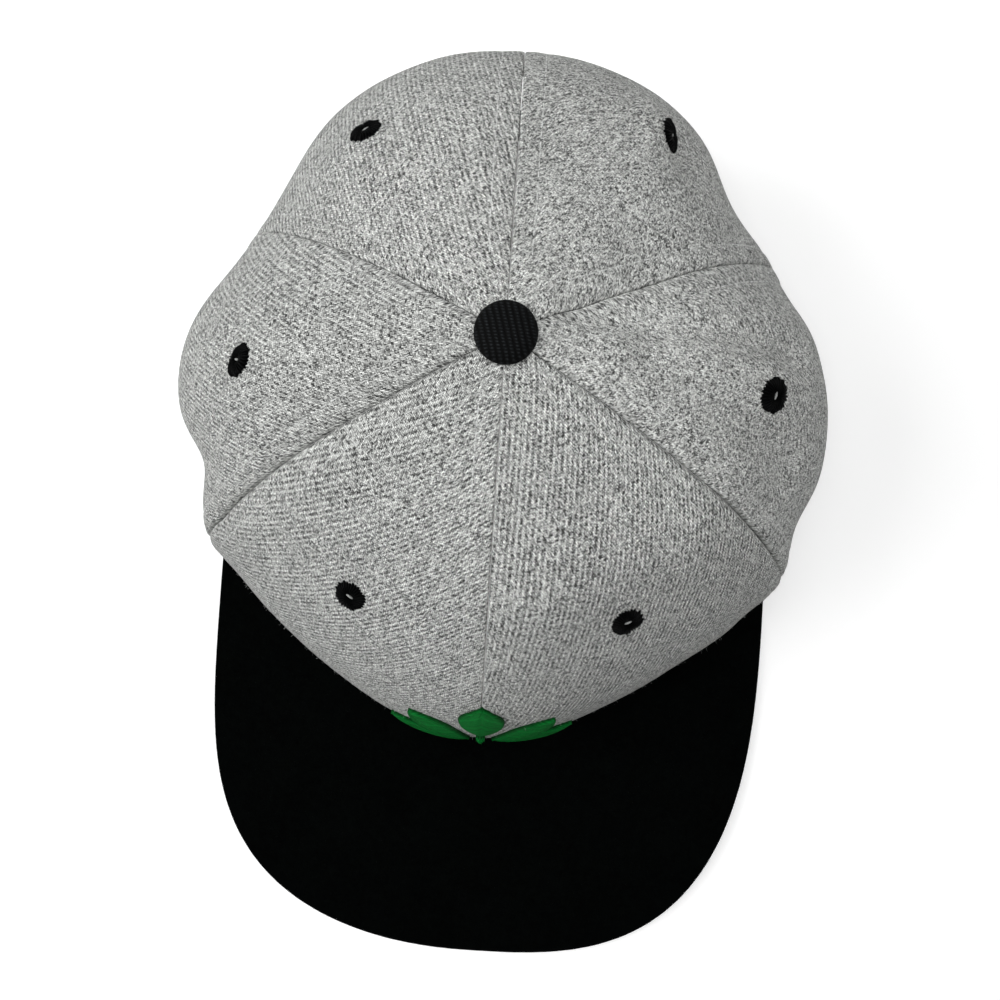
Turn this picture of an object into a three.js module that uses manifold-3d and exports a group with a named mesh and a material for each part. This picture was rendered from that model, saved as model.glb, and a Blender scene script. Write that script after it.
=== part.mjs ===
// A snapback cap: six crown panels, covered button, eyelets, two-layer brim, sweatband,
// closing strap and a raised leaf sprig. Millimetres, +Z up, and the brim points along -Y.
// It is drawn standing on z = 0 with the middle of the crown's rim at x = 0, y = 0, and the
// finished cap is then moved so that the origin is under the middle of the whole.
import * as THREE from 'three';
import { mergeVertices } from 'three/addons/utils/BufferGeometryUtils.js';
import Module from 'manifold-3d';

// Crown
const crownHalfWidth = 88;
const crownHalfLength = 97;
const crownHeight = 107.9;
const apexSetback = 4.9;
const clothThickness = 2;
const seamGap = 0.3;
const frontSeamAzimuth = 58.9;
const rearSeamAzimuth = 116.9;
const stationSpread = 20;
const tuckedShare = 0.35;

// Brim
const brimDepth = 68.4;
const brimSideInset = 1;
const brimTopThickness = 1.6;
const brimUndersideThickness = 1.5;
const brimArchAtCrown = 9.8;
const brimArchAtFront = 3.4;
const brimShoulder = 0.62;
const brimEndAzimuth = 68;
const rimSettling = 25;

// Button and eyelets
const buttonDiameter = 14.4;
const buttonRise = 5;
const shankDiameter = 3.8;
const eyeletDiameter = 9.2;
const eyeletRise = 1.1;
const eyeletBore = 2.8;
const eyeletWall = 0.8;

// Sweatband, rear arch and closing strap
const bandHeight = 32;
const bandThickness = 1.5;
const bandLift = 0.6;
const liningGap = 0.5;
const archHalfWidth = 38;
const archHeight = 45;
const strapHeight = 20;
const strapThickness = 1.6;
const strapLift = 1;
const strapOverlap = 12;
const studDiameter = 4.8;
const studRise = 1.4;
const studSpacing = 8.4;
const studCount = 7;

// Raised leaf sprig on the front
const sprigHalfWidth = 27;
const sprigHeight = 50;
const sprigFoot = 20;
const sprigEdge = 0.5;
const sprigRise = 1.3;

// How finely the cloth is divided
const panelColumns = 12;
const panelRows = 12;
const brimColumns = 34;
const brimRows = 4;
const leafSteps = 7;

// Form of the crown at stations round the rim. Azimuth 0 is the front and 90 the wearer's right
// as seen from the front. right and left are shares of the rim ellipse, fullness is the exponent
// of the rounded side, and tuck is how far the lowest cloth turns in, as a share of the reach.
const stations = [
  { azimuth: 0, right: 1.068, left: 1.068, fullness: 2.58, tuck: 0 },
  { azimuth: 30, right: 1.016, left: 1.018, fullness: 2.39, tuck: 0.01 },
  { azimuth: 60, right: 1.106, left: 1.058, fullness: 2.5, tuck: 0.024 },
  { azimuth: 88, right: 1.076, left: 1.078, fullness: 2.94, tuck: 0.059 },
  { azimuth: 117, right: 0.929, left: 0.953, fullness: 2.04, tuck: 0.05 },
  { azimuth: 148, right: 1.023, left: 1.026, fullness: 2.33, tuck: 0.038 },
  { azimuth: 180, right: 0.937, left: 0.937, fullness: 3.04, tuck: 0.02 },
];

// Ridges and dents in the cloth. rise is a share of the crown's half width, width is in degrees,
// and height and spread are shares of the crown's height.
const folds = [
  { azimuth: 58.9, rise: 0.025, width: 6, height: 0.3, spread: 0.4 },
  { azimuth: -58.9, rise: 0.031, width: 6, height: 0.3, spread: 0.4 },
  { azimuth: 66.4, rise: -0.037, width: 7, height: 0.3, spread: 0.4 },
  { azimuth: -71.6, rise: -0.048, width: 7, height: 0.3, spread: 0.4 },
  { azimuth: 104, rise: 0.043, width: 8, height: 0.3, spread: 0.4 },
  { azimuth: 117.4, rise: 0.044, width: 9, height: 0.3, spread: 0.4 },
  { azimuth: -116.4, rise: 0.013, width: 9, height: 0.3, spread: 0.4 },
  { azimuth: 135, rise: -0.025, width: 8, height: 0.3, spread: 0.4 },
  { azimuth: 107, rise: -0.026, width: 7, height: 0.86, spread: 0.14 },
  { azimuth: 77, rise: -0.018, width: 8, height: 0.82, spread: 0.16 },
];

// Rounding of the brim's two front corners: reach is a share of the brim's half width,
// and side and front are the exponents of the outline towards the side and the front.
const brimCorners = {
  right: { reach: 1, side: 2.98, front: 2.89 },
  left: { reach: 0.988, side: 2.14, front: 3.99 },
};

// Eyelets: climb is the share of the way from the rim to the button.
const eyelets = [
  { name: 'eyelet_front_left', azimuth: -29, climb: 0.534 },
  { name: 'eyelet_front_right', azimuth: 28.5, climb: 0.522 },
  { name: 'eyelet_side_left', azimuth: -83.5, climb: 0.616 },
  { name: 'eyelet_side_right', azimuth: 84, climb: 0.59 },
  { name: 'eyelet_rear_left', azimuth: -144.5, climb: 0.56 },
  { name: 'eyelet_rear_right', azimuth: 147, climb: 0.52 },
];

// Leaves of the sprig: across and breadth are shares of its half width, up and length are shares
// of its height, and lean is the angle from upright.
const leaves = [
  { name: 'motif_stem', across: 0, up: 0, lean: 0, length: 0.55, breadth: 0.05, blunt: true },
  { name: 'motif_leaf_top', across: 0, up: 0.59, lean: 0, length: 0.42, breadth: 0.26 },
  { name: 'motif_leaf_upper_left', across: -0.12, up: 0.44, lean: -52, length: 0.48, breadth: 0.23 },
  { name: 'motif_leaf_upper_right', across: 0.12, up: 0.44, lean: 52, length: 0.48, breadth: 0.23 },
  { name: 'motif_leaf_middle_left', across: -0.12, up: 0.22, lean: -64, length: 0.54, breadth: 0.22 },
  { name: 'motif_leaf_middle_right', across: 0.12, up: 0.22, lean: 64, length: 0.54, breadth: 0.22 },
  { name: 'motif_leaf_lower_left', across: -0.12, up: 0.02, lean: -74, length: 0.46, breadth: 0.18 },
  { name: 'motif_leaf_lower_right', across: 0.12, up: 0.02, lean: 74, length: 0.46, breadth: 0.18 },
];

const panels = [
  { name: 'panel_front_right', from: 0, to: frontSeamAzimuth },
  { name: 'panel_side_right', from: frontSeamAzimuth, to: rearSeamAzimuth },
  { name: 'panel_rear_right', from: rearSeamAzimuth, to: 180, opensAtRear: true },
  { name: 'panel_rear_left', from: 180, to: 360 - rearSeamAzimuth, opensAtRear: true },
  { name: 'panel_side_left', from: -rearSeamAzimuth, to: -frontSeamAzimuth },
  { name: 'panel_front_left', from: -frontSeamAzimuth, to: 0 },
];

const brimThickness = brimTopThickness + seamGap + brimUndersideThickness;
const brimHalfWidth = crownHalfWidth - brimSideInset;
const frontReach = crownHalfLength * stations[0].right;
const rearReach = crownHalfLength * stations.at(-1).right;
const apexHoleRadius = shankDiameter / 2 + seamGap;
const apexGapRadius = apexHoleRadius + seamGap;
const strapEndAngle = THREE.MathUtils.radToDeg(Math.atan2(archHalfWidth + strapOverlap, rearReach));
const bandEndAngle = strapEndAngle + THREE.MathUtils.radToDeg((bandThickness + seamGap) / rearReach);

const heather = new THREE.MeshStandardMaterial({ color: 0xa3a5a2, roughness: 0.95, metalness: 0 });
const blackFelt = new THREE.MeshStandardMaterial({ color: 0x14181a, roughness: 0.98, metalness: 0 });
const blackRib = new THREE.MeshStandardMaterial({ color: 0x1b1d1e, roughness: 0.85, metalness: 0 });
const blackThread = new THREE.MeshStandardMaterial({ color: 0x121314, roughness: 0.6, metalness: 0 });
const bandTwill = new THREE.MeshStandardMaterial({ color: 0x1c1d1f, roughness: 0.9, metalness: 0 });
const strapPlastic = new THREE.MeshStandardMaterial({ color: 0x18191b, roughness: 0.45, metalness: 0 });
const greenThread = new THREE.MeshStandardMaterial({ color: 0x0f8a35, roughness: 0.55, metalness: 0 });

const cap = new THREE.Group();
const wasm = await Module();
wasm.setup();

// A closed solid from a geometry, once its shared corners are merged.
function toSolid(geometry) {
  const bare = geometry.clone();
  bare.deleteAttribute('normal');
  bare.deleteAttribute('uv');
  const merged = mergeVertices(bare, 1e-5);
  return new wasm.Manifold(new wasm.Mesh({
    numProp: 3,
    vertProperties: new Float32Array(merged.attributes.position.array),
    triVerts: new Uint32Array(merged.index.array),
  }));
}

function toGeometry(solid) {
  const mesh = solid.getMesh();
  const geometry = new THREE.BufferGeometry();
  geometry.setAttribute('position', new THREE.BufferAttribute(mesh.vertProperties, 3));
  geometry.setIndex(new THREE.BufferAttribute(mesh.triVerts, 1));
  geometry.computeVertexNormals();
  return geometry;
}

function addPiece(name, geometry, material) {
  const mesh = new THREE.Mesh(geometry, material.clone());
  mesh.name = name;
  cap.add(mesh);
}

// The difference of two azimuths, from -180 to 180 degrees.
function turnBetween(a, b) {
  return THREE.MathUtils.euclideanModulo(a - b + 180, 360) - 180;
}

function bell(distance, width) {
  return Math.exp(-((distance / width) ** 2));
}

const leftStations = stations.slice(1, -1).map((row) => ({ ...row, azimuth: -row.azimuth, reach: row.left }));
const ring = [...stations.map((row) => ({ ...row, reach: row.right })), ...leftStations];

// One column of the stations at an azimuth: their mean, weighted by nearness.
function atAzimuth(azimuth, column) {
  let sum = 0;
  let weight = 0;
  for (const station of ring) {
    const nearness = bell(turnBetween(azimuth, station.azimuth), stationSpread);
    sum += nearness * station[column];
    weight += nearness;
  }
  return sum / weight;
}

// Reach of the rim ellipse at an azimuth, before folds and tuck.
function reachAt(azimuth) {
  const angle = THREE.MathUtils.degToRad(azimuth);
  const ellipse = Math.hypot(Math.sin(angle) / crownHalfWidth, Math.cos(angle) / crownHalfLength);
  return atAzimuth(azimuth, 'reach') / ellipse;
}

// Distance of the cloth's outer face from the crown's axis. climb runs from 0 at z = 0 to 1 at the apex.
function radiusAt(azimuth, climb) {
  const quarter = THREE.MathUtils.clamp(climb, 0, 1) * Math.PI / 2;
  const power = 2 / atAzimuth(azimuth, 'fullness');
  const reach = reachAt(azimuth);
  const rise = Math.sin(quarter) ** power;
  const turnedIn = atAzimuth(azimuth, 'tuck') * Math.max(0, 1 - climb / tuckedShare) ** 2;
  const rounded = Math.max(0, Math.cos(quarter)) ** power;
  let radius = reach * (rounded - turnedIn);
  for (const fold of folds) {
    const along = bell(turnBetween(azimuth, fold.azimuth), fold.width);
    const up = bell(rise - fold.height, fold.spread) * Math.sqrt(rounded);
    radius += crownHalfWidth * fold.rise * along * up;
  }
  return radius;
}

function outerPoint(azimuth, climb) {
  const angle = THREE.MathUtils.degToRad(azimuth);
  const quarter = THREE.MathUtils.clamp(climb, 0, 1) * Math.PI / 2;
  const rise = Math.sin(quarter) ** (2 / atAzimuth(azimuth, 'fullness'));
  const radius = radiusAt(azimuth, climb);
  const setback = apexSetback * rise ** 1.5;
  return new THREE.Vector3(radius * Math.sin(angle), setback - radius * Math.cos(angle), crownHeight * rise);
}

function outwardNormal(azimuth, climb) {
  const step = 0.004;
  const low = Math.min(Math.max(climb, 0.02), 1 - 2 * step);
  const sideways = outerPoint(azimuth + 0.3, low).sub(outerPoint(azimuth - 0.3, low));
  const upwards = outerPoint(azimuth, low + step).sub(outerPoint(azimuth, low - step));
  return sideways.cross(upwards).normalize();
}

// A point of the crown, inset from the cloth's outer face along its normal. A negative inset is outside.
function crownPoint(azimuth, climb, inset = 0) {
  return outerPoint(azimuth, climb).addScaledVector(outwardNormal(azimuth, climb), -inset);
}

// The climb at which the crown's outer face has a given height.
function climbToHeight(azimuth, height) {
  const share = THREE.MathUtils.clamp(height / crownHeight, 0, 1);
  return Math.asin(share ** (atAzimuth(azimuth, 'fullness') / 2)) * 2 / Math.PI;
}

// Height of the brim's upper face: an arch across, lower towards the front.
function brimTopAt(x, y) {
  const corner = x > 0 ? brimCorners.right : brimCorners.left;
  const along = THREE.MathUtils.clamp((-y - frontReach) / brimDepth, 0, 1);
  const arch = THREE.MathUtils.lerp(brimArchAtCrown, brimArchAtFront, along);
  const across = x / (brimHalfWidth * corner.reach);
  return brimThickness + arch * Math.max(0, 1 - across * across);
}

// Height of the cloth's lower edge: on the brim in front, and down on z = 0 behind it.
function rimHeightAt(x, y) {
  const azimuth = THREE.MathUtils.radToDeg(Math.atan2(Math.abs(x), -y));
  const settled = THREE.MathUtils.smoothstep(azimuth, brimEndAzimuth, brimEndAzimuth + rimSettling);
  return (brimTopAt(x, y) + seamGap) * (1 - settled);
}

function climbAtRim(azimuth) {
  const foot = outerPoint(azimuth, 0.02);
  return climbToHeight(azimuth, rimHeightAt(foot.x, foot.y));
}

// A closed solid between two sheets of points with as many rows and columns each.
function slabGeometry(outer, inner) {
  const rows = outer.length;
  const columns = outer[0].length;
  const positions = [outer, inner].flat(2).flatMap((point) => point.toArray());
  const at = (sheet, row, column) => (sheet * rows + row) * columns + column;
  const index = [];
  const quad = (a, b, c, d) => index.push(a, b, c, a, c, d);
  for (let row = 0; row < rows - 1; row += 1) {
    for (let column = 0; column < columns - 1; column += 1) {
      quad(at(0, row, column), at(0, row, column + 1), at(0, row + 1, column + 1), at(0, row + 1, column));
      quad(at(1, row, column), at(1, row + 1, column), at(1, row + 1, column + 1), at(1, row, column + 1));
    }
    quad(at(0, row, 0), at(0, row + 1, 0), at(1, row + 1, 0), at(1, row, 0));
    const last = columns - 1;
    quad(at(0, row, last), at(1, row, last), at(1, row + 1, last), at(0, row + 1, last));
  }
  for (let column = 0; column < columns - 1; column += 1) {
    quad(at(0, 0, column), at(1, 0, column), at(1, 0, column + 1), at(0, 0, column + 1));
    const top = rows - 1;
    quad(at(0, top, column), at(0, top, column + 1), at(1, top, column + 1), at(1, top, column));
  }
  const geometry = new THREE.BufferGeometry();
  geometry.setAttribute('position', new THREE.Float32BufferAttribute(positions, 3));
  geometry.setIndex(index);
  geometry.computeVertexNormals();
  return geometry;
}

// Two sheets from a function of row share, column share and sheet (0 outer, 1 inner).
function slabFrom(rows, columns, pointAt) {
  const sheet = (side) => Array.from({ length: rows + 1 }, (_, row) => (
    Array.from({ length: columns + 1 }, (__, column) => pointAt(row / rows, column / columns, side))
  ));
  return slabGeometry(sheet(0), sheet(1));
}

// Places a solid drawn round +Z at the crown's outer face, with +Z along the cloth's normal.
function seatOnCrown(geometry, azimuth, climb) {
  const matrix = new THREE.Matrix4().compose(
    outerPoint(azimuth, climb),
    new THREE.Quaternion().setFromUnitVectors(new THREE.Vector3(0, 0, 1), outwardNormal(azimuth, climb)),
    new THREE.Vector3(1, 1, 1),
  );
  return geometry.applyMatrix4(matrix);
}

// The climb at which the cloth comes within a given radius of the crown's axis.
function climbToRadius(azimuth, radius) {
  let low = 0.5;
  let high = 1;
  for (let step = 0; step < 30; step += 1) {
    const middle = (low + high) / 2;
    if (radiusAt(azimuth, middle) > radius) low = middle;
    else high = middle;
  }
  return low;
}

// One crown panel, from seam to seam and from the rim to the hole under the button.
function panelGeometry(panel) {
  return slabFrom(panelRows, panelColumns, (up, across, side) => {
    const middle = panel.from + (panel.to - panel.from) * across;
    const low = climbAtRim(middle);
    const high = climbToRadius(middle, apexGapRadius);
    const climb = low + (high - low) * up;
    const clearance = THREE.MathUtils.radToDeg(seamGap / 2 / radiusAt(middle, climb));
    const azimuth = THREE.MathUtils.lerp(panel.from + clearance, panel.to - clearance, across);
    const point = crownPoint(azimuth, climb, side * clothThickness);
    if (up === 0) point.z = rimHeightAt(point.x, point.y);
    return point;
  });
}

// The half-moon opening at the back, as a bar along Y with a half-ellipse section.
function archGeometry() {
  const section = new THREE.Shape();
  section.moveTo(-archHalfWidth, -crownHeight / 4);
  section.lineTo(archHalfWidth, -crownHeight / 4);
  section.lineTo(archHalfWidth, 0);
  section.absellipse(0, 0, archHalfWidth, archHeight, 0, Math.PI, false);
  section.closePath();
  const options = { depth: crownHalfLength, bevelEnabled: false, curveSegments: 12 };
  const bar = new THREE.ExtrudeGeometry(section, options);
  return bar.rotateX(Math.PI / 2).translate(0, crownHalfLength * 1.4, 0);
}

// The hole in the cloth round an eyelet's neck.
function eyeletHole(eyelet) {
  const radius = eyeletBore / 2 + eyeletWall + seamGap;
  const drill = new THREE.CylinderGeometry(radius, radius, clothThickness * 6, 14).rotateX(Math.PI / 2);
  return seatOnCrown(drill, eyelet.azimuth, eyelet.climb);
}

// Whether an eyelet sits on a panel.
function sitsOn(eyelet, panel) {
  const middle = (panel.from + panel.to) / 2;
  return Math.abs(turnBetween(eyelet.azimuth, middle)) < (panel.to - panel.from) / 2;
}

function addPanels() {
  const arch = toSolid(archGeometry());
  for (const panel of panels) {
    let solid = toSolid(panelGeometry(panel));
    for (const eyelet of eyelets.filter((row) => sitsOn(row, panel))) {
      solid = solid.subtract(toSolid(eyeletHole(eyelet)));
    }
    if (panel.opensAtRear) solid = solid.subtract(arch);
    addPiece(panel.name, toGeometry(solid), heather);
  }
}

// A stitched ring on the cloth, with a neck through it.
function eyeletGeometry() {
  const bore = eyeletBore / 2;
  const neck = bore + eyeletWall;
  const outside = eyeletDiameter / 2;
  const crest = seamGap + eyeletRise;
  const profile = [
    [bore, -clothThickness - seamGap],
    [neck, -clothThickness - seamGap],
    [neck, seamGap],
    [outside, seamGap],
    [outside * 0.97, seamGap + eyeletRise * 0.45],
    [(outside + neck) / 2, crest],
    [neck, crest * 0.97],
    [bore, seamGap + eyeletRise * 0.3],
    [bore, -clothThickness - seamGap],
  ];
  return new THREE.LatheGeometry(profile.map(([r, z]) => new THREE.Vector2(r, z)), 14).rotateX(Math.PI / 2);
}

function addEyelets() {
  for (const eyelet of eyelets) {
    const ringSolid = toSolid(seatOnCrown(eyeletGeometry(), eyelet.azimuth, eyelet.climb));
    addPiece(eyelet.name, toGeometry(ringSolid), blackThread);
  }
}

// The domed button, with its shank down through the hole where the panels meet.
function addButton() {
  const radius = buttonDiameter / 2;
  const shank = shankDiameter / 2;
  const dome = Array.from({ length: 6 }, (_, step) => {
    const angle = (step / 6) * Math.PI / 2;
    const share = 0.25 + 0.75 * Math.sin(angle) ** 0.9;
    return new THREE.Vector2(radius * Math.cos(angle) ** 0.6, seamGap + buttonRise * share);
  });
  const profile = [
    new THREE.Vector2(0, -clothThickness - seamGap),
    new THREE.Vector2(shank, -clothThickness - seamGap),
    new THREE.Vector2(shank, seamGap),
    new THREE.Vector2(radius * 0.93, seamGap),
    ...dome,
    new THREE.Vector2(0, seamGap + buttonRise),
  ];
  const button = new THREE.LatheGeometry(profile, 20).rotateX(Math.PI / 2);
  button.translate(0, apexSetback, crownHeight);
  addPiece('top_button', toGeometry(toSolid(button)), blackRib);
}

// Outline of the brim from one end on the rim, round the front, to the other: share from -1 to 1.
function brimOutline(share) {
  const corner = share > 0 ? brimCorners.right : brimCorners.left;
  const side = Math.sign(share);
  const halfWidth = brimHalfWidth * corner.reach;
  const shoulderY = -crownHalfLength * brimShoulder;
  const frontShare = 0.86;
  const along = Math.abs(share) / frontShare;
  if (along <= 1) {
    const angle = along * Math.PI / 2;
    const depth = frontReach + brimDepth + shoulderY;
    const x = side * halfWidth * Math.sin(angle) ** (2 / corner.side);
    const y = shoulderY - depth * Math.max(0, Math.cos(angle)) ** (2 / corner.front);
    return new THREE.Vector2(x, y);
  }
  const angle = (Math.abs(share) - frontShare) / (1 - frontShare) * Math.PI / 2;
  const end = outerPoint(side * brimEndAzimuth, climbAtRim(side * brimEndAzimuth));
  const x = end.x + (side * halfWidth - end.x) * Math.cos(angle);
  return new THREE.Vector2(x, shoulderY + (end.y - shoulderY) * Math.sin(angle));
}

// One layer of the brim, from the crown's inner face to the outline, between two depths below its top.
function brimLayer(depthAbove, depthBelow) {
  return slabFrom(brimRows, brimColumns, (outwards, across, side) => {
    const share = 2 * across - 1;
    const azimuth = share * brimEndAzimuth;
    const inner = crownPoint(azimuth, climbAtRim(azimuth), clothThickness);
    const edge = brimOutline(share);
    const x = THREE.MathUtils.lerp(edge.x, inner.x, outwards);
    const y = THREE.MathUtils.lerp(edge.y, inner.y, outwards);
    const depth = side === 0 ? depthAbove : depthBelow;
    return new THREE.Vector3(x, y, brimTopAt(x, y) - depth);
  });
}

function addBrim() {
  addPiece('brim_top', brimLayer(0, brimTopThickness), blackFelt);
  addPiece('brim_underside', brimLayer(brimTopThickness + seamGap, brimThickness), blackFelt);
}

// Azimuths of all panel columns between two limits, so that what lies inside follows the same facets.
function columnsBetween(from, to) {
  const columns = panels.flatMap((panel) => Array.from({ length: panelColumns }, (_, column) => (
    turnBetween(panel.from + (panel.to - panel.from) * column / panelColumns, from) + from
  )));
  const wrapped = columns.map((azimuth) => (azimuth < from ? azimuth + 360 : azimuth));
  const inside = wrapped.filter((azimuth) => azimuth > from + 1 && azimuth < to - 1).sort((a, b) => a - b);
  return [from, ...inside, to];
}

// A strip that follows the inside of the crown between two azimuths and two heights.
function liningStrip(from, to, rows, thickness, footAt, top) {
  const columns = columnsBetween(from, to);
  const sheet = (inset) => Array.from({ length: rows + 1 }, (_, row) => columns.map((azimuth) => {
    const foot = footAt(azimuth);
    const height = foot + (top - foot) * row / rows;
    const point = crownPoint(azimuth, climbToHeight(azimuth, height), inset);
    point.z = height;
    return point;
  }));
  return slabGeometry(sheet(clothThickness + liningGap), sheet(clothThickness + liningGap + thickness));
}

function addSweatband() {
  const end = 180 - bandEndAngle;
  const footAt = (azimuth) => {
    const rim = outerPoint(azimuth, 0.02);
    return Math.max(bandLift, rimHeightAt(rim.x, rim.y) - brimThickness - seamGap);
  };
  addPiece('sweatband', liningStrip(-end, end, 3, bandThickness, footAt, bandHeight), bandTwill);
}

// The closing strap across the rear opening, with its row of studs on the outside.
function addStrap() {
  const from = 180 - strapEndAngle;
  const to = 180 + strapEndAngle;
  const top = strapLift + strapHeight;
  let strap = toSolid(liningStrip(from, to, 2, strapThickness, () => strapLift, top));
  const middle = strapLift + strapHeight / 2;
  for (let stud = 0; stud < studCount; stud += 1) {
    const offset = (stud - (studCount - 1) / 2) * studSpacing;
    const azimuth = 180 + THREE.MathUtils.radToDeg(offset / rearReach);
    const climb = climbToHeight(azimuth, middle);
    const inset = clothThickness + liningGap + strapThickness / 2;
    const length = strapThickness / 2 + studRise;
    const peg = new THREE.CylinderGeometry(studDiameter / 2, studDiameter / 2, length, 12);
    peg.rotateX(Math.PI / 2).translate(0, 0, length / 2 - inset);
    strap = strap.add(toSolid(seatOnCrown(peg, azimuth, climb)));
  }
  addPiece('snap_strap', toGeometry(strap), strapPlastic);
}

// One padded leaf, or the stem, laid on the front of the crown.
function leafGeometry(leaf) {
  const lean = THREE.MathUtils.degToRad(leaf.lean);
  const foot = new THREE.Vector2(leaf.across * sprigHalfWidth, sprigFoot + leaf.up * sprigHeight);
  const along = new THREE.Vector2(Math.sin(lean), Math.cos(lean));
  const sideways = new THREE.Vector2(Math.cos(lean), -Math.sin(lean));
  return slabFrom(leafSteps, 4, (up, across, side) => {
    const swell = leaf.blunt ? 1 : Math.max(0.08, Math.sin(Math.PI * up ** 1.25) ** 0.85);
    const offset = 2 * across - 1;
    const place = foot.clone().addScaledVector(along, up * leaf.length * sprigHeight);
    place.addScaledVector(sideways, offset * swell * leaf.breadth * sprigHalfWidth);
    const azimuth = THREE.MathUtils.radToDeg(place.x / frontReach);
    const dome = sprigRise * (1 - offset * offset) * Math.sqrt(swell);
    const height = side === 0 ? sprigEdge + dome : 0;
    return crownPoint(azimuth, climbToHeight(azimuth, place.y), -seamGap - height);
  });
}

function addSprig() {
  for (const leaf of leaves) addPiece(leaf.name, leafGeometry(leaf), greenThread);
}

addPanels();
addEyelets();
addButton();
addBrim();
addSweatband();
addStrap();
addSprig();

// The origin goes under the middle of the whole cap, on the surface it stands on.
const extent = new THREE.Box3().setFromObject(cap);
const middle = extent.getCenter(new THREE.Vector3());
cap.position.set(-middle.x, -middle.y, -extent.min.z);

export default cap;
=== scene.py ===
"""Looks for a six-panel snapback cap: twill crown, covered button, brushed brim, eyelets and thread.

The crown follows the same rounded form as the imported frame. A point of its cloth is named by its
azimuth, in degrees from the front and growing towards +X, and by its climb, from 0 at the rim to
1 at the button. Lengths are metres, and the crown is worked out with the middle of its rim at the
origin, then moved to its place in the frame as its meshes are made.
"""
from typing import NamedTuple

import bpy
import numpy as np
from mathutils import Matrix, Vector


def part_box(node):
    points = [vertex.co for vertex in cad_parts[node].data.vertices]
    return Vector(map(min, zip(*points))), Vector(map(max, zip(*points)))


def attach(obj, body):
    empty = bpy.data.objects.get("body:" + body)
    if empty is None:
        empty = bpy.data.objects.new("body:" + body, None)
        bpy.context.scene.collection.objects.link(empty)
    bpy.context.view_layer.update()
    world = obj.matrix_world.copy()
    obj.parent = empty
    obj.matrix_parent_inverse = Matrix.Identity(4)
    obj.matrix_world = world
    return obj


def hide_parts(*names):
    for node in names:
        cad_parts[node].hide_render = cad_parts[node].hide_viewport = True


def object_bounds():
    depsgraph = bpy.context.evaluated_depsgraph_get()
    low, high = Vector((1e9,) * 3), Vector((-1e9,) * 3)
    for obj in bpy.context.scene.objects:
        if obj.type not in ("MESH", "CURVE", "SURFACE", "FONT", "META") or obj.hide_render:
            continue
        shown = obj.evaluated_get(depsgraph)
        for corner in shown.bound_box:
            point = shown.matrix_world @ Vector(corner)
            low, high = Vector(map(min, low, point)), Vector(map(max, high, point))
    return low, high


bl_info = {
    "name": "Snapback cap",
    "version": (1, 0, 0),
    "blender": (4, 5, 0),
    "location": "View3D > Sidebar > Cap",
    "description": "Dresses the frame of a six-panel cap in twill, brushed cloth, thread and plastic",
    "category": "Object",
}

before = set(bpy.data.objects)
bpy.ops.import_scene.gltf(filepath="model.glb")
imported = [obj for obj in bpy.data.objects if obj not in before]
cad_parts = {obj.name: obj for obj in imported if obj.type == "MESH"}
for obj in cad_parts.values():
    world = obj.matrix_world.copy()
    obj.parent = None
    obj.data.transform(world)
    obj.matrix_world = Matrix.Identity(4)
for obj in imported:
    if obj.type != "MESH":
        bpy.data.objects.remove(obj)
CAD_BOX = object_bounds()

MM = 0.001

# Crown
CROWN_HALF_WIDTH = 88 * MM
CROWN_HALF_LENGTH = 97 * MM
CROWN_HEIGHT = 107.9 * MM
APEX_SETBACK = 4.9 * MM
CLOTH_THICKNESS = 2 * MM
SEAM_GAP = 0.3 * MM
FRONT_SEAM = 58.9
REAR_SEAM = 116.9
STATION_SPREAD = 20
TUCKED_SHARE = 0.35
HOLE_AT_APEX = 2.5 * MM
EYELET_SLOPE_REACH = 8 * MM
NEAR_RIM = 0.02

# The cloth's faint unevenness: a sum of waves
UNEVEN_WAVES = 14
UNEVEN_RISE = 0.035 * MM
SHORTEST_WAVE = 20 * MM
LONGEST_WAVE = 45 * MM

# Seams: depth is a share of the radius that an edge turns in with, and pucker turn is in radians
SEAM_DEPTH_SHARE = 1.5
SEAM_CLEARANCE = 0.08 * MM
NARROWING_RADIUS = 14 * MM
ROW_WIDTH = 0.55 * MM
ROW_DEPTH = 0.32 * MM
PUCKER_PLACE = 2.6 * MM
PUCKER_WIDTH = 2.2 * MM
PUCKER_TURN = 130
PUCKER_DEPTH = 0.1 * MM
DEEP_PUCKER_DEPTH = 0.26 * MM
STITCH_LENGTH = 2.3 * MM
STITCH_GAP = 0.5 * MM
ROWS_ROUND_OPENING = (2.2 * MM, 6.5 * MM)

# Loose fibres
FRONT_FIBRE_SHARE = 0.6
FRONT_FIBRE_AZIMUTH = 64
SHORTEST_FIBRE = 0.3 * MM
LONGEST_FIBRE = 0.95 * MM

# Brim
BRIM_DEPTH = 68.4 * MM
BRIM_SIDE_INSET = 1 * MM
BRIM_TOP_THICKNESS = 1.6 * MM
BRIM_UNDERSIDE_THICKNESS = 1.5 * MM
BRIM_ARCH_AT_CROWN = 9.8 * MM
BRIM_ARCH_AT_FRONT = 3.4 * MM
BRIM_SHOULDER = 0.62
BRIM_FRONT_SHARE = 0.86
BRIM_END_AZIMUTH = 68
RIM_SETTLING = 25
BRIM_ROUNDING = 1.4 * MM
NAP_RISE = 0.05 * MM

# Eyelets: half sizes of the slit, and of the cut cloth in it
EYELET_CUT = 2.6 * MM
SLIT_HALF_LENGTH = 0.8 * MM
SLIT_HALF_WIDTH = 0.32 * MM
HEART_HALF_LENGTH = 1.05 * MM
HEART_HALF_WIDTH = 0.33 * MM
HEART_RISE = 0.3 * MM
HEART_SINK = 0.35 * MM

# Button
BUTTON_WEAVE_LEAN = 16

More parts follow.
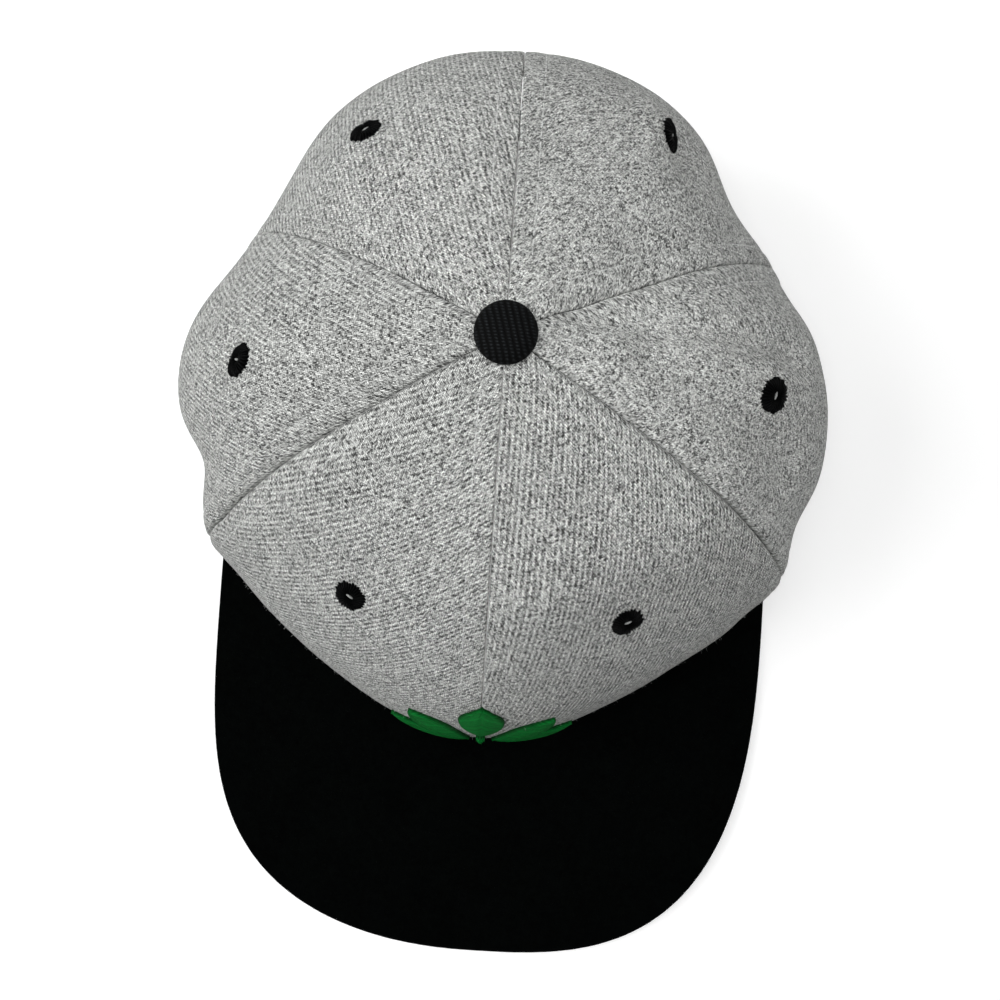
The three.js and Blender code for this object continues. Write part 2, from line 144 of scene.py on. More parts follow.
# Sweatband, rear opening and strap
BAND_HEIGHT = 32 * MM
BAND_THICKNESS = 1.5 * MM
BAND_LIFT = 0.6 * MM
LINING_GAP = 0.5 * MM
ARCH_HALF_WIDTH = 38 * MM
ARCH_HEIGHT = 45 * MM
STRAP_HEIGHT = 20 * MM
STRAP_THICKNESS = 1.6 * MM
STRAP_LIFT = 1 * MM
STRAP_OVERLAP = 12 * MM
STUD_SPACING = 8.4 * MM
STUD_COUNT = 7
OVERLAP_STUDS = 3.6
STUD_HEIGHT = 1.3 * MM
STUD_TIP = 0.9 * MM
BAND_STITCH_LENGTH = 2.6 * MM
BAND_STITCH_GAP = 0.6 * MM
BAND_STITCH_LIFT = 3.5 * MM
BAND_THREAD_THICKNESS = 0.34 * MM

# Sprig
SPRIG_HALF_WIDTH = 27 * MM
SPRIG_HEIGHT = 50 * MM
SPRIG_FOOT = 20 * MM
SPRIG_EDGE = 0.5 * MM
SPRIG_RISE = 1.3 * MM

# The camera, seen from the middle of the crown's rim: it looks almost straight down.
CAMERA_AZIMUTH = 0.945
CAMERA_ELEVATION = 88.908
CAMERA_ROLL = 2.81
CAMERA_TARGET = Vector((1.102, -31.118, 50)) * MM
CAMERA_DISTANCE = 297.737 * MM
CAMERA_LENS = 38.906

FLOOR_HALF_SIZE = 3
REAR_LIGHT_SHARE = 0.22


class Station(NamedTuple):
    """The crown's form at one azimuth: right and left are shares of the rim's ellipse."""

    azimuth: float
    right: float
    left: float
    fullness: float
    tuck: float


class Fold(NamedTuple):
    """A ridge or dent: rise is a share of the half width, height and spread of the crown's height."""

    azimuth: float
    rise: float
    width: float
    height: float
    spread: float


class Panel(NamedTuple):
    """One panel of the crown, from seam to seam, the turn of its weave, and how clear its ribs are."""

    name: str
    start: float
    end: float
    grain: float
    ribs: float
    opens_at_rear: bool = False


class Eyelet(NamedTuple):
    """A stitched eyelet, the turn of its slit, and how much the cloth slopes there, up and beside."""

    name: str
    azimuth: float
    climb: float
    turn: float
    uphill: float
    beside: float


class Leaf(NamedTuple):
    """A leaf of the sprig.

    Across and breadth are shares of the sprig's half width, up and length of its height.
    """

    name: str
    across: float
    up: float
    lean: float
    length: float
    breadth: float


class Corner(NamedTuple):
    """Rounding of one front corner of the brim."""

    reach: float
    side: float
    front: float


class Crease(NamedTuple):
    """A soft crease between two places, each an azimuth and a climb. A negative depth is a ridge."""

    start: tuple
    end: tuple
    width: float
    depth: float


STATIONS = [
    Station(0, 1.068, 1.068, 2.58, 0),
    Station(30, 1.016, 1.018, 2.39, 0.01),
    Station(60, 1.106, 1.058, 2.5, 0.024),
    Station(88, 1.076, 1.078, 2.94, 0.059),
    Station(117, 0.929, 0.953, 2.04, 0.05),
    Station(148, 1.023, 1.026, 2.33, 0.038),
    Station(180, 0.937, 0.937, 3.04, 0.02),
]

FOLDS = [
    Fold(58.9, 0.025, 6, 0.3, 0.4),
    Fold(-58.9, 0.031, 6, 0.3, 0.4),
    Fold(66.4, -0.037, 7, 0.3, 0.4),
    Fold(-71.6, -0.048, 7, 0.3, 0.4),
    Fold(104, 0.043, 8, 0.3, 0.4),
    Fold(117.4, 0.044, 9, 0.3, 0.4),
    Fold(-116.4, 0.013, 9, 0.3, 0.4),
    Fold(135, -0.025, 8, 0.3, 0.4),
    Fold(107, -0.026, 7, 0.86, 0.14),
    Fold(77, -0.018, 8, 0.82, 0.16),
]

CREASES = [
    Crease((87, 0.84), (73, 0.48), 6.5 * MM, 3 * MM),
    Crease((109, 0.88), (95, 0.48), 5.5 * MM, 3.4 * MM),
    Crease((168, 0.9), (150, 0.87), 6 * MM, 2.2 * MM),
    Crease((126, 0.74), (162, 0.74), 15 * MM, 3.5 * MM),
    Crease((8, 0.66), (48, 0.62), 14 * MM, -2.6 * MM),
    Crease((-60, 0.85), (-59, 0.35), 4 * MM, 1.8 * MM),
    Crease((171, 0.85), (172, 0.5), 5 * MM, 0.5 * MM),
    Crease((-104, 0.8), (-98, 0.5), 7 * MM, 0.6 * MM),
    Crease((-66, 0.4), (-76, 0.12), 5 * MM, 0.7 * MM),
    Crease((-130, 0.75), (-122, 0.45), 6 * MM, 0.5 * MM),
    Crease((49, 0.34), (52, 0.1), 6 * MM, 0.6 * MM),
]

PANELS = [
    Panel("front_right", 0, FRONT_SEAM, 8, 1),
    Panel("side_right", FRONT_SEAM, REAR_SEAM, -11, 0.35),
    Panel("rear_right", REAR_SEAM, 180, -10, 0.35, True),
    Panel("rear_left", 180, 360 - REAR_SEAM, 22, 0.8, True),
    Panel("side_left", -REAR_SEAM, -FRONT_SEAM, 6, 0.8),
    Panel("front_left", -FRONT_SEAM, 0, -2, 0.9),
]

# Each seam's azimuth, and the radius that its two edges turn in with.
SEAMS = [
    (0, 0.6 * MM),
    (FRONT_SEAM, 1.4 * MM),
    (REAR_SEAM, 0.75 * MM),
    (180, 0.55 * MM),
    (-REAR_SEAM, 0.7 * MM),
    (-FRONT_SEAM, 1.6 * MM),
]

EYELETS = [
    Eyelet("front_left", -29, 0.534, 0, -0.1, 0.02),
    Eyelet("front_right", 28.5, 0.522, -5, -0.12, 0.05),
    Eyelet("side_left", -83.5, 0.616, 70, 0.2, 0.37),
    Eyelet("side_right", 84, 0.59, 0, 0, -0.06),
    Eyelet("rear_left", -144.5, 0.56, 10, 0.03, 0.28),
    Eyelet("rear_right", 147, 0.52, 100, 0.09, 0.6),
]

LEAVES = [
    Leaf("stem", 0, 0, 0, 0.55, 0.05),
    Leaf("leaf_top", 0, 0.59, 0, 0.42, 0.26),
    Leaf("leaf_upper_left", -0.12, 0.44, -52, 0.48, 0.23),
    Leaf("leaf_upper_right", 0.12, 0.44, 52, 0.48, 0.23),
    Leaf("leaf_middle_left", -0.12, 0.22, -64, 0.54, 0.22),
    Leaf("leaf_middle_right", 0.12, 0.22, 64, 0.54, 0.22),
    Leaf("leaf_lower_left", -0.12, 0.02, -74, 0.46, 0.18),
    Leaf("leaf_lower_right", 0.12, 0.02, 74, 0.46, 0.18),
]

RIGHT_CORNER = Corner(1, 2.98, 2.89)
LEFT_CORNER = Corner(0.988, 2.14, 3.99)

# How finely the cloth is divided
PANEL_COLUMNS = 70
PANEL_ROWS = 128
EDGE_STEPS = np.array([0, 0.12, 0.3, 0.55, 0.9, 1.4, 2.2]) * MM
EDGE_REACH = EDGE_STEPS[-1]
FULL_WIDTH = 12 * MM
ARCH_FOOT_SHARE = 0.45
PANEL_LEAN_ENDS = 0.8
PANEL_EASING = 1.5
BRIM_COLUMNS = 240
BRIM_ROWS = 44
BRIM_EDGE_STEPS = np.array([0, 0.08, 0.25, 0.5, 0.8, 1.1, 1.5, 2.2]) * MM
BAND_EDGE_STEPS = np.array([0, 0.12, 0.3, 0.55, 0.8]) * MM
LEAF_ROWS = 64
LEAF_COLUMNS = 29

BRIM_THICKNESS = BRIM_TOP_THICKNESS + SEAM_GAP + BRIM_UNDERSIDE_THICKNESS
BRIM_HALF_WIDTH = CROWN_HALF_WIDTH - BRIM_SIDE_INSET
FRONT_REACH = CROWN_HALF_LENGTH * STATIONS[0].right
REAR_REACH = CROWN_HALF_LENGTH * STATIONS[-1].right
STRAP_END_ANGLE = np.degrees(np.arctan2(ARCH_HALF_WIDTH + STRAP_OVERLAP, REAR_REACH))
BAND_END_ANGLE = STRAP_END_ANGLE + np.degrees((BAND_THICKNESS + SEAM_GAP) / REAR_REACH)

# Azimuth, reach, fullness and tuck of every station round the rim
RING = np.array(
    [(row.azimuth, row.right, row.fullness, row.tuck) for row in STATIONS]
    + [(-row.azimuth, row.left, row.fullness, row.tuck) for row in STATIONS[1:-1]]
)

button_low, button_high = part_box("top_button")
BUTTON_RADIUS = (button_high.x - button_low.x) / 2
RIM_CENTRE = (button_low + button_high) / 2 - Vector((0, APEX_SETBACK, 0))
RIM_CENTRE.z = CAD_BOX[0][2]


# Form of the crown


def turn_between(a, b):
    """The difference of two azimuths, from -180 to 180 degrees."""
    return (a - b + 180) % 360 - 180


def bell(distance, width):
    """Gaussian of distance over width."""
    return np.exp(-((distance / width) ** 2))


def lerp(a, b, share):
    """From a to b by a share."""
    return a + (b - a) * share


def smoothstep(value, low, high):
    """From 0 to 1 between two limits, level at both."""
    share = np.clip((value - low) / (high - low), 0, 1)
    return share * share * (3 - 2 * share)


def unit(vectors):
    """Vectors at length 1."""
    return vectors / np.linalg.norm(vectors, axis=-1, keepdims=True)


def at_azimuth(azimuth):
    """Reach, fullness and tuck: the mean over the stations, weighted by a Gaussian of nearness."""
    nearness = bell(turn_between(np.asarray(azimuth, float)[..., None], RING[:, 0]), STATION_SPREAD)
    mean = nearness @ RING[:, 1:] / nearness.sum(-1, keepdims=True)
    return np.moveaxis(mean, -1, 0)


def crown_form(azimuth, climb):
    """Radius and rise of the cloth's outer face.

    Rise and rounding are the sine and cosine of a quarter turn times the climb, to the power of two
    over the fullness. The radius is the rim ellipse times the rounding, less the tuck that fades
    with the square of the climb, plus a Gaussian ridge or dent for each fold.
    """
    reach, fullness, tuck = at_azimuth(azimuth)
    angle = np.radians(azimuth)
    reach = reach / np.hypot(np.sin(angle) / CROWN_HALF_WIDTH, np.cos(angle) / CROWN_HALF_LENGTH)
    quarter = np.clip(climb, 0, 1) * np.pi / 2
    rise = np.sin(quarter) ** (2 / fullness)
    rounded = np.maximum(0, np.cos(quarter)) ** (2 / fullness)
    radius = reach * (rounded - tuck * np.maximum(0, 1 - climb / TUCKED_SHARE) ** 2)
    for fold in FOLDS:
        along = bell(turn_between(azimuth, fold.azimuth), fold.width)
        up = bell(rise - fold.height, fold.spread) * np.sqrt(rounded)
        radius = radius + CROWN_HALF_WIDTH * fold.rise * along * up
    return radius, rise


def crown_point(azimuth, climb):
    """The outer face before its soft relief: the radius round an axis that leans back with the rise."""
    radius, rise = crown_form(azimuth, climb)
    angle = np.radians(azimuth)
    y = APEX_SETBACK * rise**1.5 - radius * np.cos(angle)
    return np.stack([radius * np.sin(angle), y, CROWN_HEIGHT * rise], -1)


def crown_normal(azimuth, climb):
    """The cross product of a small step sideways and a small step up."""
    step = 0.004
    turn = 0.3
    low = np.clip(climb, NEAR_RIM, 1 - 2 * step)
    sideways = crown_point(azimuth + turn, low) - crown_point(azimuth - turn, low)
    upwards = crown_point(azimuth, low + step) - crown_point(azimuth, low - step)
    return unit(np.cross(sideways, upwards))


def climb_to_height(azimuth, height):
    """The climb at which the crown has a height: the inverse of the rise."""
    fullness = at_azimuth(azimuth)[1]
    share = np.clip(height / CROWN_HEIGHT, 0, 1)
    return np.arcsin(share ** (fullness / 2)) * 2 / np.pi


def climb_to_radius(azimuth, radius):
    """The climb at which the cloth comes within a radius of the axis, by halving."""
    low = np.full(np.shape(azimuth), 0.5)
    high = np.ones(np.shape(azimuth))
    for _ in range(30):
        middle = (low + high) / 2
        outside = crown_form(azimuth, middle)[0] > radius
        low = np.where(outside, middle, low)
        high = np.where(outside, high, middle)
    return low


def brim_top_at(x, y):
    """Height of the brim's upper face: a parabola across, lower towards the front."""
    reach = np.where(x > 0, RIGHT_CORNER.reach, LEFT_CORNER.reach)
    along = np.clip((-y - FRONT_REACH) / BRIM_DEPTH, 0, 1)
    arch = lerp(BRIM_ARCH_AT_CROWN, BRIM_ARCH_AT_FRONT, along)
    across = x / (BRIM_HALF_WIDTH * reach)
    return BRIM_THICKNESS + arch * np.maximum(0, 1 - across**2)


def rim_height_at(x, y):
    """Height of the cloth's lower edge: on the brim in front, and down on the ground behind it."""
    azimuth = np.degrees(np.arctan2(np.abs(x), -y))
    settled = smoothstep(azimuth, BRIM_END_AZIMUTH, BRIM_END_AZIMUTH + RIM_SETTLING)
    return (brim_top_at(x, y) + SEAM_GAP) * (1 - settled)


def rim_place(azimuth):
    """x and y of the cloth just above its lower edge."""
    foot = crown_point(azimuth, np.full(np.shape(azimuth), NEAR_RIM))
    return foot[..., 0], foot[..., 1]


def climb_at_rim(azimuth):
    """The climb of the cloth's lower edge."""
    return climb_to_height(azimuth, rim_height_at(*rim_place(azimuth)))


def cloth_axes(azimuth, climb):
    """Unit vectors uphill along the plain form, to its side, and along its normal."""
    normal = crown_normal(float(azimuth), float(climb))
    uphill = crown_point(azimuth, climb + 0.01) - crown_point(azimuth, climb - 0.01)
    uphill = unit(uphill - (uphill @ normal) * normal)
    return uphill, np.cross(uphill, normal), normal


def drape(point):
    """How far the soft cloth stands off the plain form.

    Each crease is a Gaussian of the distance from the line between its two ends, as seen from
    outside. Round each eyelet the cloth slopes: the offset from it times the slope, faded by a
    Gaussian. A faint unevenness is added: a sum of sines of the place, each in a direction and
    of a length of its own.
    """
    relief = np.zeros(point.shape[:-1])
    for crease in CREASES:
        ends = crown_point(*(np.array(pair, float) for pair in zip(crease.start, crease.end)))
        line = ends[1] - ends[0]
        share = np.clip((point - ends[0]) @ line / (line @ line), 0, 1)
        offset = point - ends[0] - share[..., None] * line
        outward = unit(point)
        offset = offset - (offset * outward).sum(-1, keepdims=True) * outward
        relief -= crease.depth * bell(np.linalg.norm(offset, axis=-1), crease.width)
    for eyelet in EYELETS:
        uphill, beside, _ = cloth_axes(eyelet.azimuth, eyelet.climb)
        offset = point - crown_point(eyelet.azimuth, eyelet.climb)
        slope = offset @ (eyelet.uphill * uphill + eyelet.beside * beside)
        relief += slope * bell(np.linalg.norm(offset, axis=-1), EYELET_SLOPE_REACH)
    rng = np.random.default_rng(11)
    for _ in range(UNEVEN_WAVES):
        wave = unit(rng.normal(size=3)) * 2 * np.pi / rng.uniform(SHORTEST_WAVE, LONGEST_WAVE)
        relief += UNEVEN_RISE * np.sin(point @ wave + rng.uniform(0, 2 * np.pi))
    return relief


def narrowing(radius):
    """How much finer seams and rows are at a radius, from 1 down to 0.1 at the button."""
    return np.clip(radius / NARROWING_RADIUS, 0.1, 1)


def grooves(azimuth, climb, settings):
    """Depth of the seams and of the stitch rows beside them, on the outer face only.

    An edge turns in on a quarter ellipse as wide as the seam's radius. A stitch row presses a
    Gaussian groove, and between it and the seam the cloth puckers in a sine along the seam.
    """
    radius = crown_form(azimuth, climb)[0]
    narrow = narrowing(radius)
    depth = np.zeros(radius.shape)
    for seam, roll in SEAMS:
        away = radius * np.radians(np.abs(turn_between(azimuth, seam)))
        turn = np.clip(1 - away / (roll * narrow), 0, 1)
        depth += SEAM_DEPTH_SHARE * roll * narrow * (1 - np.sqrt(1 - turn**2))
        row = bell(away - settings.topstitch_inset * narrow, ROW_WIDTH)
        pucker = np.sin(climb * PUCKER_TURN + seam) * bell(away - PUCKER_PLACE, PUCKER_WIDTH)
        pull = DEEP_PUCKER_DEPTH if seam == REAR_SEAM else PUCKER_DEPTH
        depth += (ROW_DEPTH * row + pull * pucker) * narrow
    return depth


def cloth_point(azimuth, climb, depth=0.0):
    """A point of the draped crown, at a depth below its outer face."""
    azimuth, climb = np.broadcast_arrays(np.asarray(azimuth, float), np.asarray(climb, float))
    point = crown_point(azimuth, climb)
    away = drape(point) - depth
    return point + crown_normal(azimuth, climb) * away[..., None]


# Meshes


def quads_between(a, b, c, d):
    """Quads from four arrays of corner numbers."""
    return np.stack([a, b, c, d], -1).reshape(-1, 4)


def slab(outer, inner, keep=None):
    """Closed shell between two sheets of points.

    Every kept cell has a quad on each sheet, and a wall stands wherever a kept cell meets none,
    from the outer sheet's edge to the inner one's. Returns points, quads and the numbers of the
    points that were kept, counted through the outer and then the inner sheet.
    """
    rows, columns = outer.shape[:2]
    keep = np.ones((rows - 1, columns - 1), bool) if keep is None else keep
    index = np.arange(rows * columns).reshape(rows, columns)
    under = rows * columns
    a, b, c, d = index[:-1, :-1], index[:-1, 1:], index[1:, 1:], index[1:, :-1]
    quads = [quads_between(a, b, c, d)[keep.ravel()]]
    quads.append(quads_between(a, d, c, b)[keep.ravel()] + under)
    fenced = np.pad(keep, 1)
    neighbours = [
        (a, b, fenced[:-2, 1:-1]),
        (b, c, fenced[1:-1, 2:]),
        (c, d, fenced[2:, 1:-1]),
        (d, a, fenced[1:-1, :-2]),
    ]
    for start, end, beyond in neighbours:
        edge = keep & ~beyond
        quads.append(quads_between(start[edge], start[edge] + under, end[edge] + under, end[edge]))
    quads = np.concatenate(quads)
    kept, quads = np.unique(quads, return_inverse=True)
    points = np.concatenate([outer.reshape(-1, 3), inner.reshape(-1, 3)])[kept]
    return points, quads.reshape(-1, 4), kept


def tubes(rings, caps):
    """Closed tubes: rings of points as (tubes, rings, sides, 3), and an end point for each end.

    Sides run counter-clockwise about the way the rings follow each other. Returns points, quads
    and triangles.
    """
    count, length, sides, _ = rings.shape
    index = np.arange(count * length * sides).reshape(count, length, sides)
    beside = np.roll(index, -1, 2)
    quads = quads_between(index[:, :-1], beside[:, :-1], beside[:, 1:], index[:, 1:])
    first = np.broadcast_to(index.size + 2 * np.arange(count)[:, None], (count, sides))
    start = np.stack([first, beside[:, 0], index[:, 0]], -1)
    end = np.stack([first + 1, index[:, -1], beside[:, -1]], -1)
    points = np.concatenate([rings.reshape(-1, 3), caps.reshape(-1, 3)])
    return points, quads, np.concatenate([start.reshape(-1, 3), end.reshape(-1, 3)])


def turn_steps(count):
    """Even angles round a full turn, in radians."""
    return np.arange(count) / count * 2 * np.pi


def closed_ring(points):
    """Quads over a grid of points that closes on itself both ways."""
    rows, columns = points.shape[:2]
    index = np.arange(rows * columns).reshape(rows, columns)
    up = np.roll(index, -1, 0)
    return quads_between(index, np.roll(index, -1, 1), np.roll(up, -1, 1), up)


def make_piece(name, points, faces, finish, slot, replaces=(), uv=None, tone=None):
    """A smooth mesh object in its place in the frame, riding on the cap.

    faces is one array of quads or triangles, or several. uv holds each point's place on the
    cloth in millimetres, and tone one number for each point.
    """
    arrays = [faces] if isinstance(faces, np.ndarray) else list(faces)
    sizes = np.concatenate([np.full(len(array), array.shape[1]) for array in arrays])
    corners = np.concatenate([array.ravel() for array in arrays])
    mesh = bpy.data.meshes.new(name)
    mesh.vertices.add(len(points))
    mesh.vertices.foreach_set("co", (points + np.array(RIM_CENTRE)).ravel())
    mesh.loops.add(len(corners))
    mesh.loops.foreach_set("vertex_index", corners)
    mesh.polygons.add(len(sizes))
    mesh.polygons.foreach_set("loop_start", np.concatenate([[0], np.cumsum(sizes)[:-1]]))
    mesh.update(calc_edges=True)
    mesh.polygons.foreach_set("use_smooth", np.ones(len(sizes), bool))
    if uv is not None:
        layer = mesh.uv_layers.new(name="cloth")
        layer.uv.foreach_set("vector", uv[corners].ravel().astype(np.float32))
    if tone is not None:
        layer = mesh.attributes.new("tone", "FLOAT", "POINT")
        layer.data.foreach_set("value", tone.astype(np.float32))
    mesh.materials.append(finish)
    if mesh.validate():
        raise RuntimeError(f"{name} has broken faces")
    piece = bpy.data.objects.new(name, mesh)
    bpy.context.scene.collection.objects.link(piece)
    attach(piece, "root")
    if replaces:
        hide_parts(*replaces)
    return piece


def lengths_along(points):
    """Distance along a line of points, from its first one, down the first axis."""
    steps = np.linalg.norm(np.diff(points, axis=0), axis=-1)
    return np.concatenate([np.zeros((1, *steps.shape[1:])), np.cumsum(steps, axis=0)])


def resample(values, lengths, wanted):
    """Values of a line at wanted distances along it."""
    return np.stack([np.interp(wanted, lengths, column) for column in values.T], -1)


def rounded_edge(away, radius):
    """How far a face has fallen at a distance from an edge that is rounded with a radius.

    The fall is that of a quarter circle. With a radius of 0 there is no number at the edge itself.
    """
    turn = np.clip(1 - away / radius, 0, 1)
    return radius * (1 - np.sqrt(1 - turn**2))


def stitches(path, normals, length, gap, thickness):
    """Stitches along a line on the cloth, as short closed tubes.

    The line is cut into even steps of a stitch and a gap. Each stitch is a tube of five rings
    about its step's direction, thickest in the middle, and its ends dip below the cloth.
    """
    lengths = lengths_along(path)
    count = max(1, int(lengths[-1] / (length + gap)))
    step = lengths[-1] / count
    wanted = (np.arange(count) + 0.5) * step
    middle = resample(path, lengths, wanted)
    front = resample(path, lengths, wanted + length / 2)
    ahead = front - resample(path, lengths, wanted - length / 2)
    up = unit(resample(normals, lengths, wanted))
    along = unit(ahead - (ahead * up).sum(-1, keepdims=True) * up)
    side = np.cross(along, up)
    share = np.array([-0.46, -0.3, 0, 0.3, 0.46])
    swell = np.sqrt(1 - (1.9 * share) ** 2)
    lift = thickness * (0.55 - 4.4 * share**2)
    around = turn_steps(6)
    spine = middle[:, None] + along[:, None] * (share * length)[:, None]
    spine = spine + up[:, None] * lift[:, None]
    round_side = side[:, None, None] * np.cos(around)[:, None]
    round_up = up[:, None, None] * np.sin(around)[:, None]
    rings = spine[:, :, None] - (round_side - round_up) * (swell * thickness / 2)[:, None, None]
    tip = along * (0.5 * length) - up * (0.55 * thickness)
    heel = along * (-0.5 * length) - up * (0.55 * thickness)
    return tubes(rings, np.stack([middle + heel, middle + tip], 1))


def joined(parts):
    """Several meshes of points, quads and triangles as one."""
    start = np.concatenate([[0], np.cumsum([len(part[0]) for part in parts])[:-1]])
    points = np.concatenate([part[0] for part in parts])
    quads = np.concatenate([part[1] + at for part, at in zip(parts, start)])
    triangles = np.concatenate([part[2] + at for part, at in zip(parts, start)])
    return points, [quads, triangles]


# Materials


class Value:
    """A socket of a material. Arithmetic on it adds Math nodes."""

    def __init__(self, finish, socket):
        self.finish = finish
        self.socket = socket

    def math(self, operation, *values):
        """A Math node on values and links."""
        return self.finish.node("ShaderNodeMath", {"operation": operation}, dict(enumerate(values)))

    def __add__(self, other):
        return self.math("ADD", self, other)

    __radd__ = __add__

    def __sub__(self, other):
        return self.math("SUBTRACT", self, other)

    def __rsub__(self, other):
        return self.math("SUBTRACT", other, self)

    def __mul__(self, other):
        return self.math("MULTIPLY", self, other)

    __rmul__ = __mul__

    def __truediv__(self, other):
        return self.math("DIVIDE", self, other)

    def __pow__(self, other):
        return self.math("POWER", self, other)

    def floor(self):
        return self.math("FLOOR", self)

    def wrapped(self, span):
        return self.math("FLOORED_MODULO", self, span)

    def below(self, limit):
        return self.math("LESS_THAN", self, limit)

    def sine(self):
        return self.math("SINE", self)

    def at_least(self, limit):
        return self.math("MAXIMUM", self, limit)

    def output(self, name):
        """Another output of the same node."""
        return Value(self.finish, self.socket.node.outputs[name])


class Finish:
    """A material with one Principled shader, built up from its nodes."""

    def __init__(self, name, colour, roughness, **constants):
        self.material = bpy.data.materials.new(name)
        self.material.use_nodes = True
        self.material.diffuse_color = (*colour, 1)
        self.tree = self.material.node_tree
        self.shader = self.tree.nodes["Principled BSDF"]
        constants = {"base_color": (*colour, 1), "roughness": roughness, **constants}
        for socket, value in constants.items():
            title = socket.replace("_", " ").title().replace("Ior", "IOR")
            self.shader.inputs[title].default_value = value

    def node(self, kind, settings, inputs, output=0):
        """A node of a type, its settings, and its sockets' values or links. Gives one output."""
        made = self.tree.nodes.new(kind)
        for setting, value in settings.items():
            setattr(made, setting, value)
        for socket, value in inputs.items():
            if isinstance(value, Value):
                self.tree.links.new(value.socket, made.inputs[socket])
            else:
                made.inputs[socket].default_value = value
        return Value(self, made.outputs[output])

    def feed(self, socket, value):
        """Links a value into the shader."""
        self.tree.links.new(value.socket, self.shader.inputs[socket])

    def place(self):
        """The place on the object, in metres."""
        return self.node("ShaderNodeTexCoord", {}, {}, "Object")

    def cloth(self):
        """The place on the cloth, in millimetres: across and down."""
        spot = self.node("ShaderNodeUVMap", {"uv_map": "cloth"}, {})
        axes = self.node("ShaderNodeSeparateXYZ", {}, {0: spot})
        return axes, axes.output("Y")

    def point_tone(self):
        """The number that each point of the mesh carries."""
        return self.node("ShaderNodeAttribute", {"attribute_name": "tone"}, {}, "Fac")

    def spot(self, x, y, z=0.0):
        """A vector from three numbers."""
        return self.node("ShaderNodeCombineXYZ", {}, {0: x, 1: y, 2: z})

    def noise(self, place, scale, detail=2.0, roughness=0.5):
        """Cloudy noise round 0, about -0.5 to 0.5."""
        inputs = {"Vector": place, "Scale": scale, "Detail": detail, "Roughness": roughness}
        return self.node("ShaderNodeTexNoise", {}, inputs) - 0.5

    def chance(self, x, y):
        """An even random number for each whole x and y."""
        settings = {"noise_dimensions": "2D"}
        return self.node("ShaderNodeTexWhiteNoise", settings, {0: self.spot(x, y)})

    def shaded(self, colour, tone):
        """A colour times a tone."""
        inputs = {0: colour, 1: self.spot(tone, tone, tone)}
        return self.node("ShaderNodeVectorMath", {"operation": "MULTIPLY"}, inputs)

    def relief(self, height, distance):
        """A height from 0 to 1, as a bump of that distance in metres."""
        inputs = {"Strength": 1.0, "Distance": distance, "Height": height}
        self.feed("Normal", self.node("ShaderNodeBump", {}, inputs))


def twill(finish, across, down, warp_pitch, weft_pitch):
    """Two-over-two twill from its threads' pitches in millimetres.

    A cell is one warp by one weft thread, and its phase is the sum of the two threads' numbers
    modulo four: the warp lies on top for phases 0 and 1, the weft for 2 and 3. A thread's height
    is a parabola across it times a parabola along its float. Returns the height, whether the
    warp is on top, and a random tone for every float.
    """
    fall = 0.55
    weft_number = 700.5
    column = across / warp_pitch
    row = down / weft_pitch
    warp = column.floor()
    weft = row.floor()
    beside = column - warp - 0.5
    along = row - weft - 0.5
    order = warp + weft
    phase = order.wrapped(4)
    warp_up = phase.below(1.5)
    warp_height = (1 - (beside * 2) ** 2) * (1 - fall * (phase + along - 0.5) ** 2)
    weft_height = (1 - (along * 2) ** 2) * (1 - fall * (phase + beside - 2.5) ** 2)
    height = weft_height + warp_up * (warp_height - weft_height)
    run = (order / 4).floor()
    thread = weft + weft_number + warp_up * (warp - weft - weft_number)
    return height, warp_up, finish.chance(thread, run)


def heather_twill(settings):
    """Heather grey twill: light and dark flecks on every float, in ribs that lean, and painted shade in
    the weave's hollows.

    The tone attribute says how clear the panel's ribs are.
    """
    finish = Finish("heather_twill", settings.cloth_colour, 0.95, specular_ior_level=0.15)
    across, down = finish.cloth()
    drift = finish.noise(finish.spot(across, down), 0.3, 2)
    drifted = (across + drift * 0.2, down + drift * 0.15)
    pitches = (settings.warp_pitch / MM, settings.weft_pitch / MM)
    height, warp_up, chance = twill(finish, *drifted, *pitches)
    fleck = finish.noise(finish.spot(across * 3.2, down * 2.4), 1.0, 3, 0.85)
    slub = finish.noise(finish.spot(across * 0.7, down * 0.5), 1.0, 2, 0.6)
    speck_cell = ((across * 2.9 + down * 0.7).floor(), (down * 2.3 - across * 0.6).floor())
    speck = finish.chance(*speck_cell) - 0.5
    cloud = finish.noise(finish.spot(across, down), 0.09, 3, 0.6)
    streak = finish.noise(finish.spot(across * 1.6, down * 0.12), 1.0, 2)
    ribs = finish.point_tone()
    flecks = (chance - 0.5) * 0.56 + fleck * 3.4 + speck * 0.95
    unevenness = cloud * 0.22 + streak * 0.25 + slub * 0.5
    # Weft floats, the low grooves beside the ribs, are darker than warp floats: painted shade, as
    # strong as the panel's ribs are clear.
    tone = 0.74 + (warp_up - 0.5) * ribs * 0.42 + flecks + unevenness
    # Each thread is darker where its height falls, at its sides and the ends of its float: painted
    # shade in the weave's hollows.
    tone = tone * (0.86 + (height - 0.5) * (ribs * 0.4 + 0.15))
    finish.feed("Base Color", finish.shaded(settings.cloth_colour, tone.at_least(0.06)))
    finish.relief(height * (ribs * 0.7 + 0.3) + fleck * 0.6, 0.22 * MM)
    return finish.material


def thread_finish(name, colour):
    """Twisted thread: fine slanting bands along the place, painted darker in the twist's grooves as
    painted shade, and a little unevenness.
    """
    finish = Finish(name, colour, 0.6, specular_ior_level=0.3)
    spot = finish.place()
    axes = finish.node("ShaderNodeSeparateXYZ", {}, {0: spot})
    twist_rate = 9000
    slant = (axes + axes.output("Y") * 0.7 + axes.output("Z") * 1.3) * twist_rate
    twist = slant.sine() * 0.5 + 0.5
    uneven = finish.noise(spot, 900, 2)
    # The bands are lighter on the twist's crests and darker in its grooves: painted shade.
    finish.feed("Base Color", finish.shaded(colour, 0.75 + twist * 0.35 + uneven * 0.6))
    finish.relief(twist, 0.05 * MM)
    return finish.material


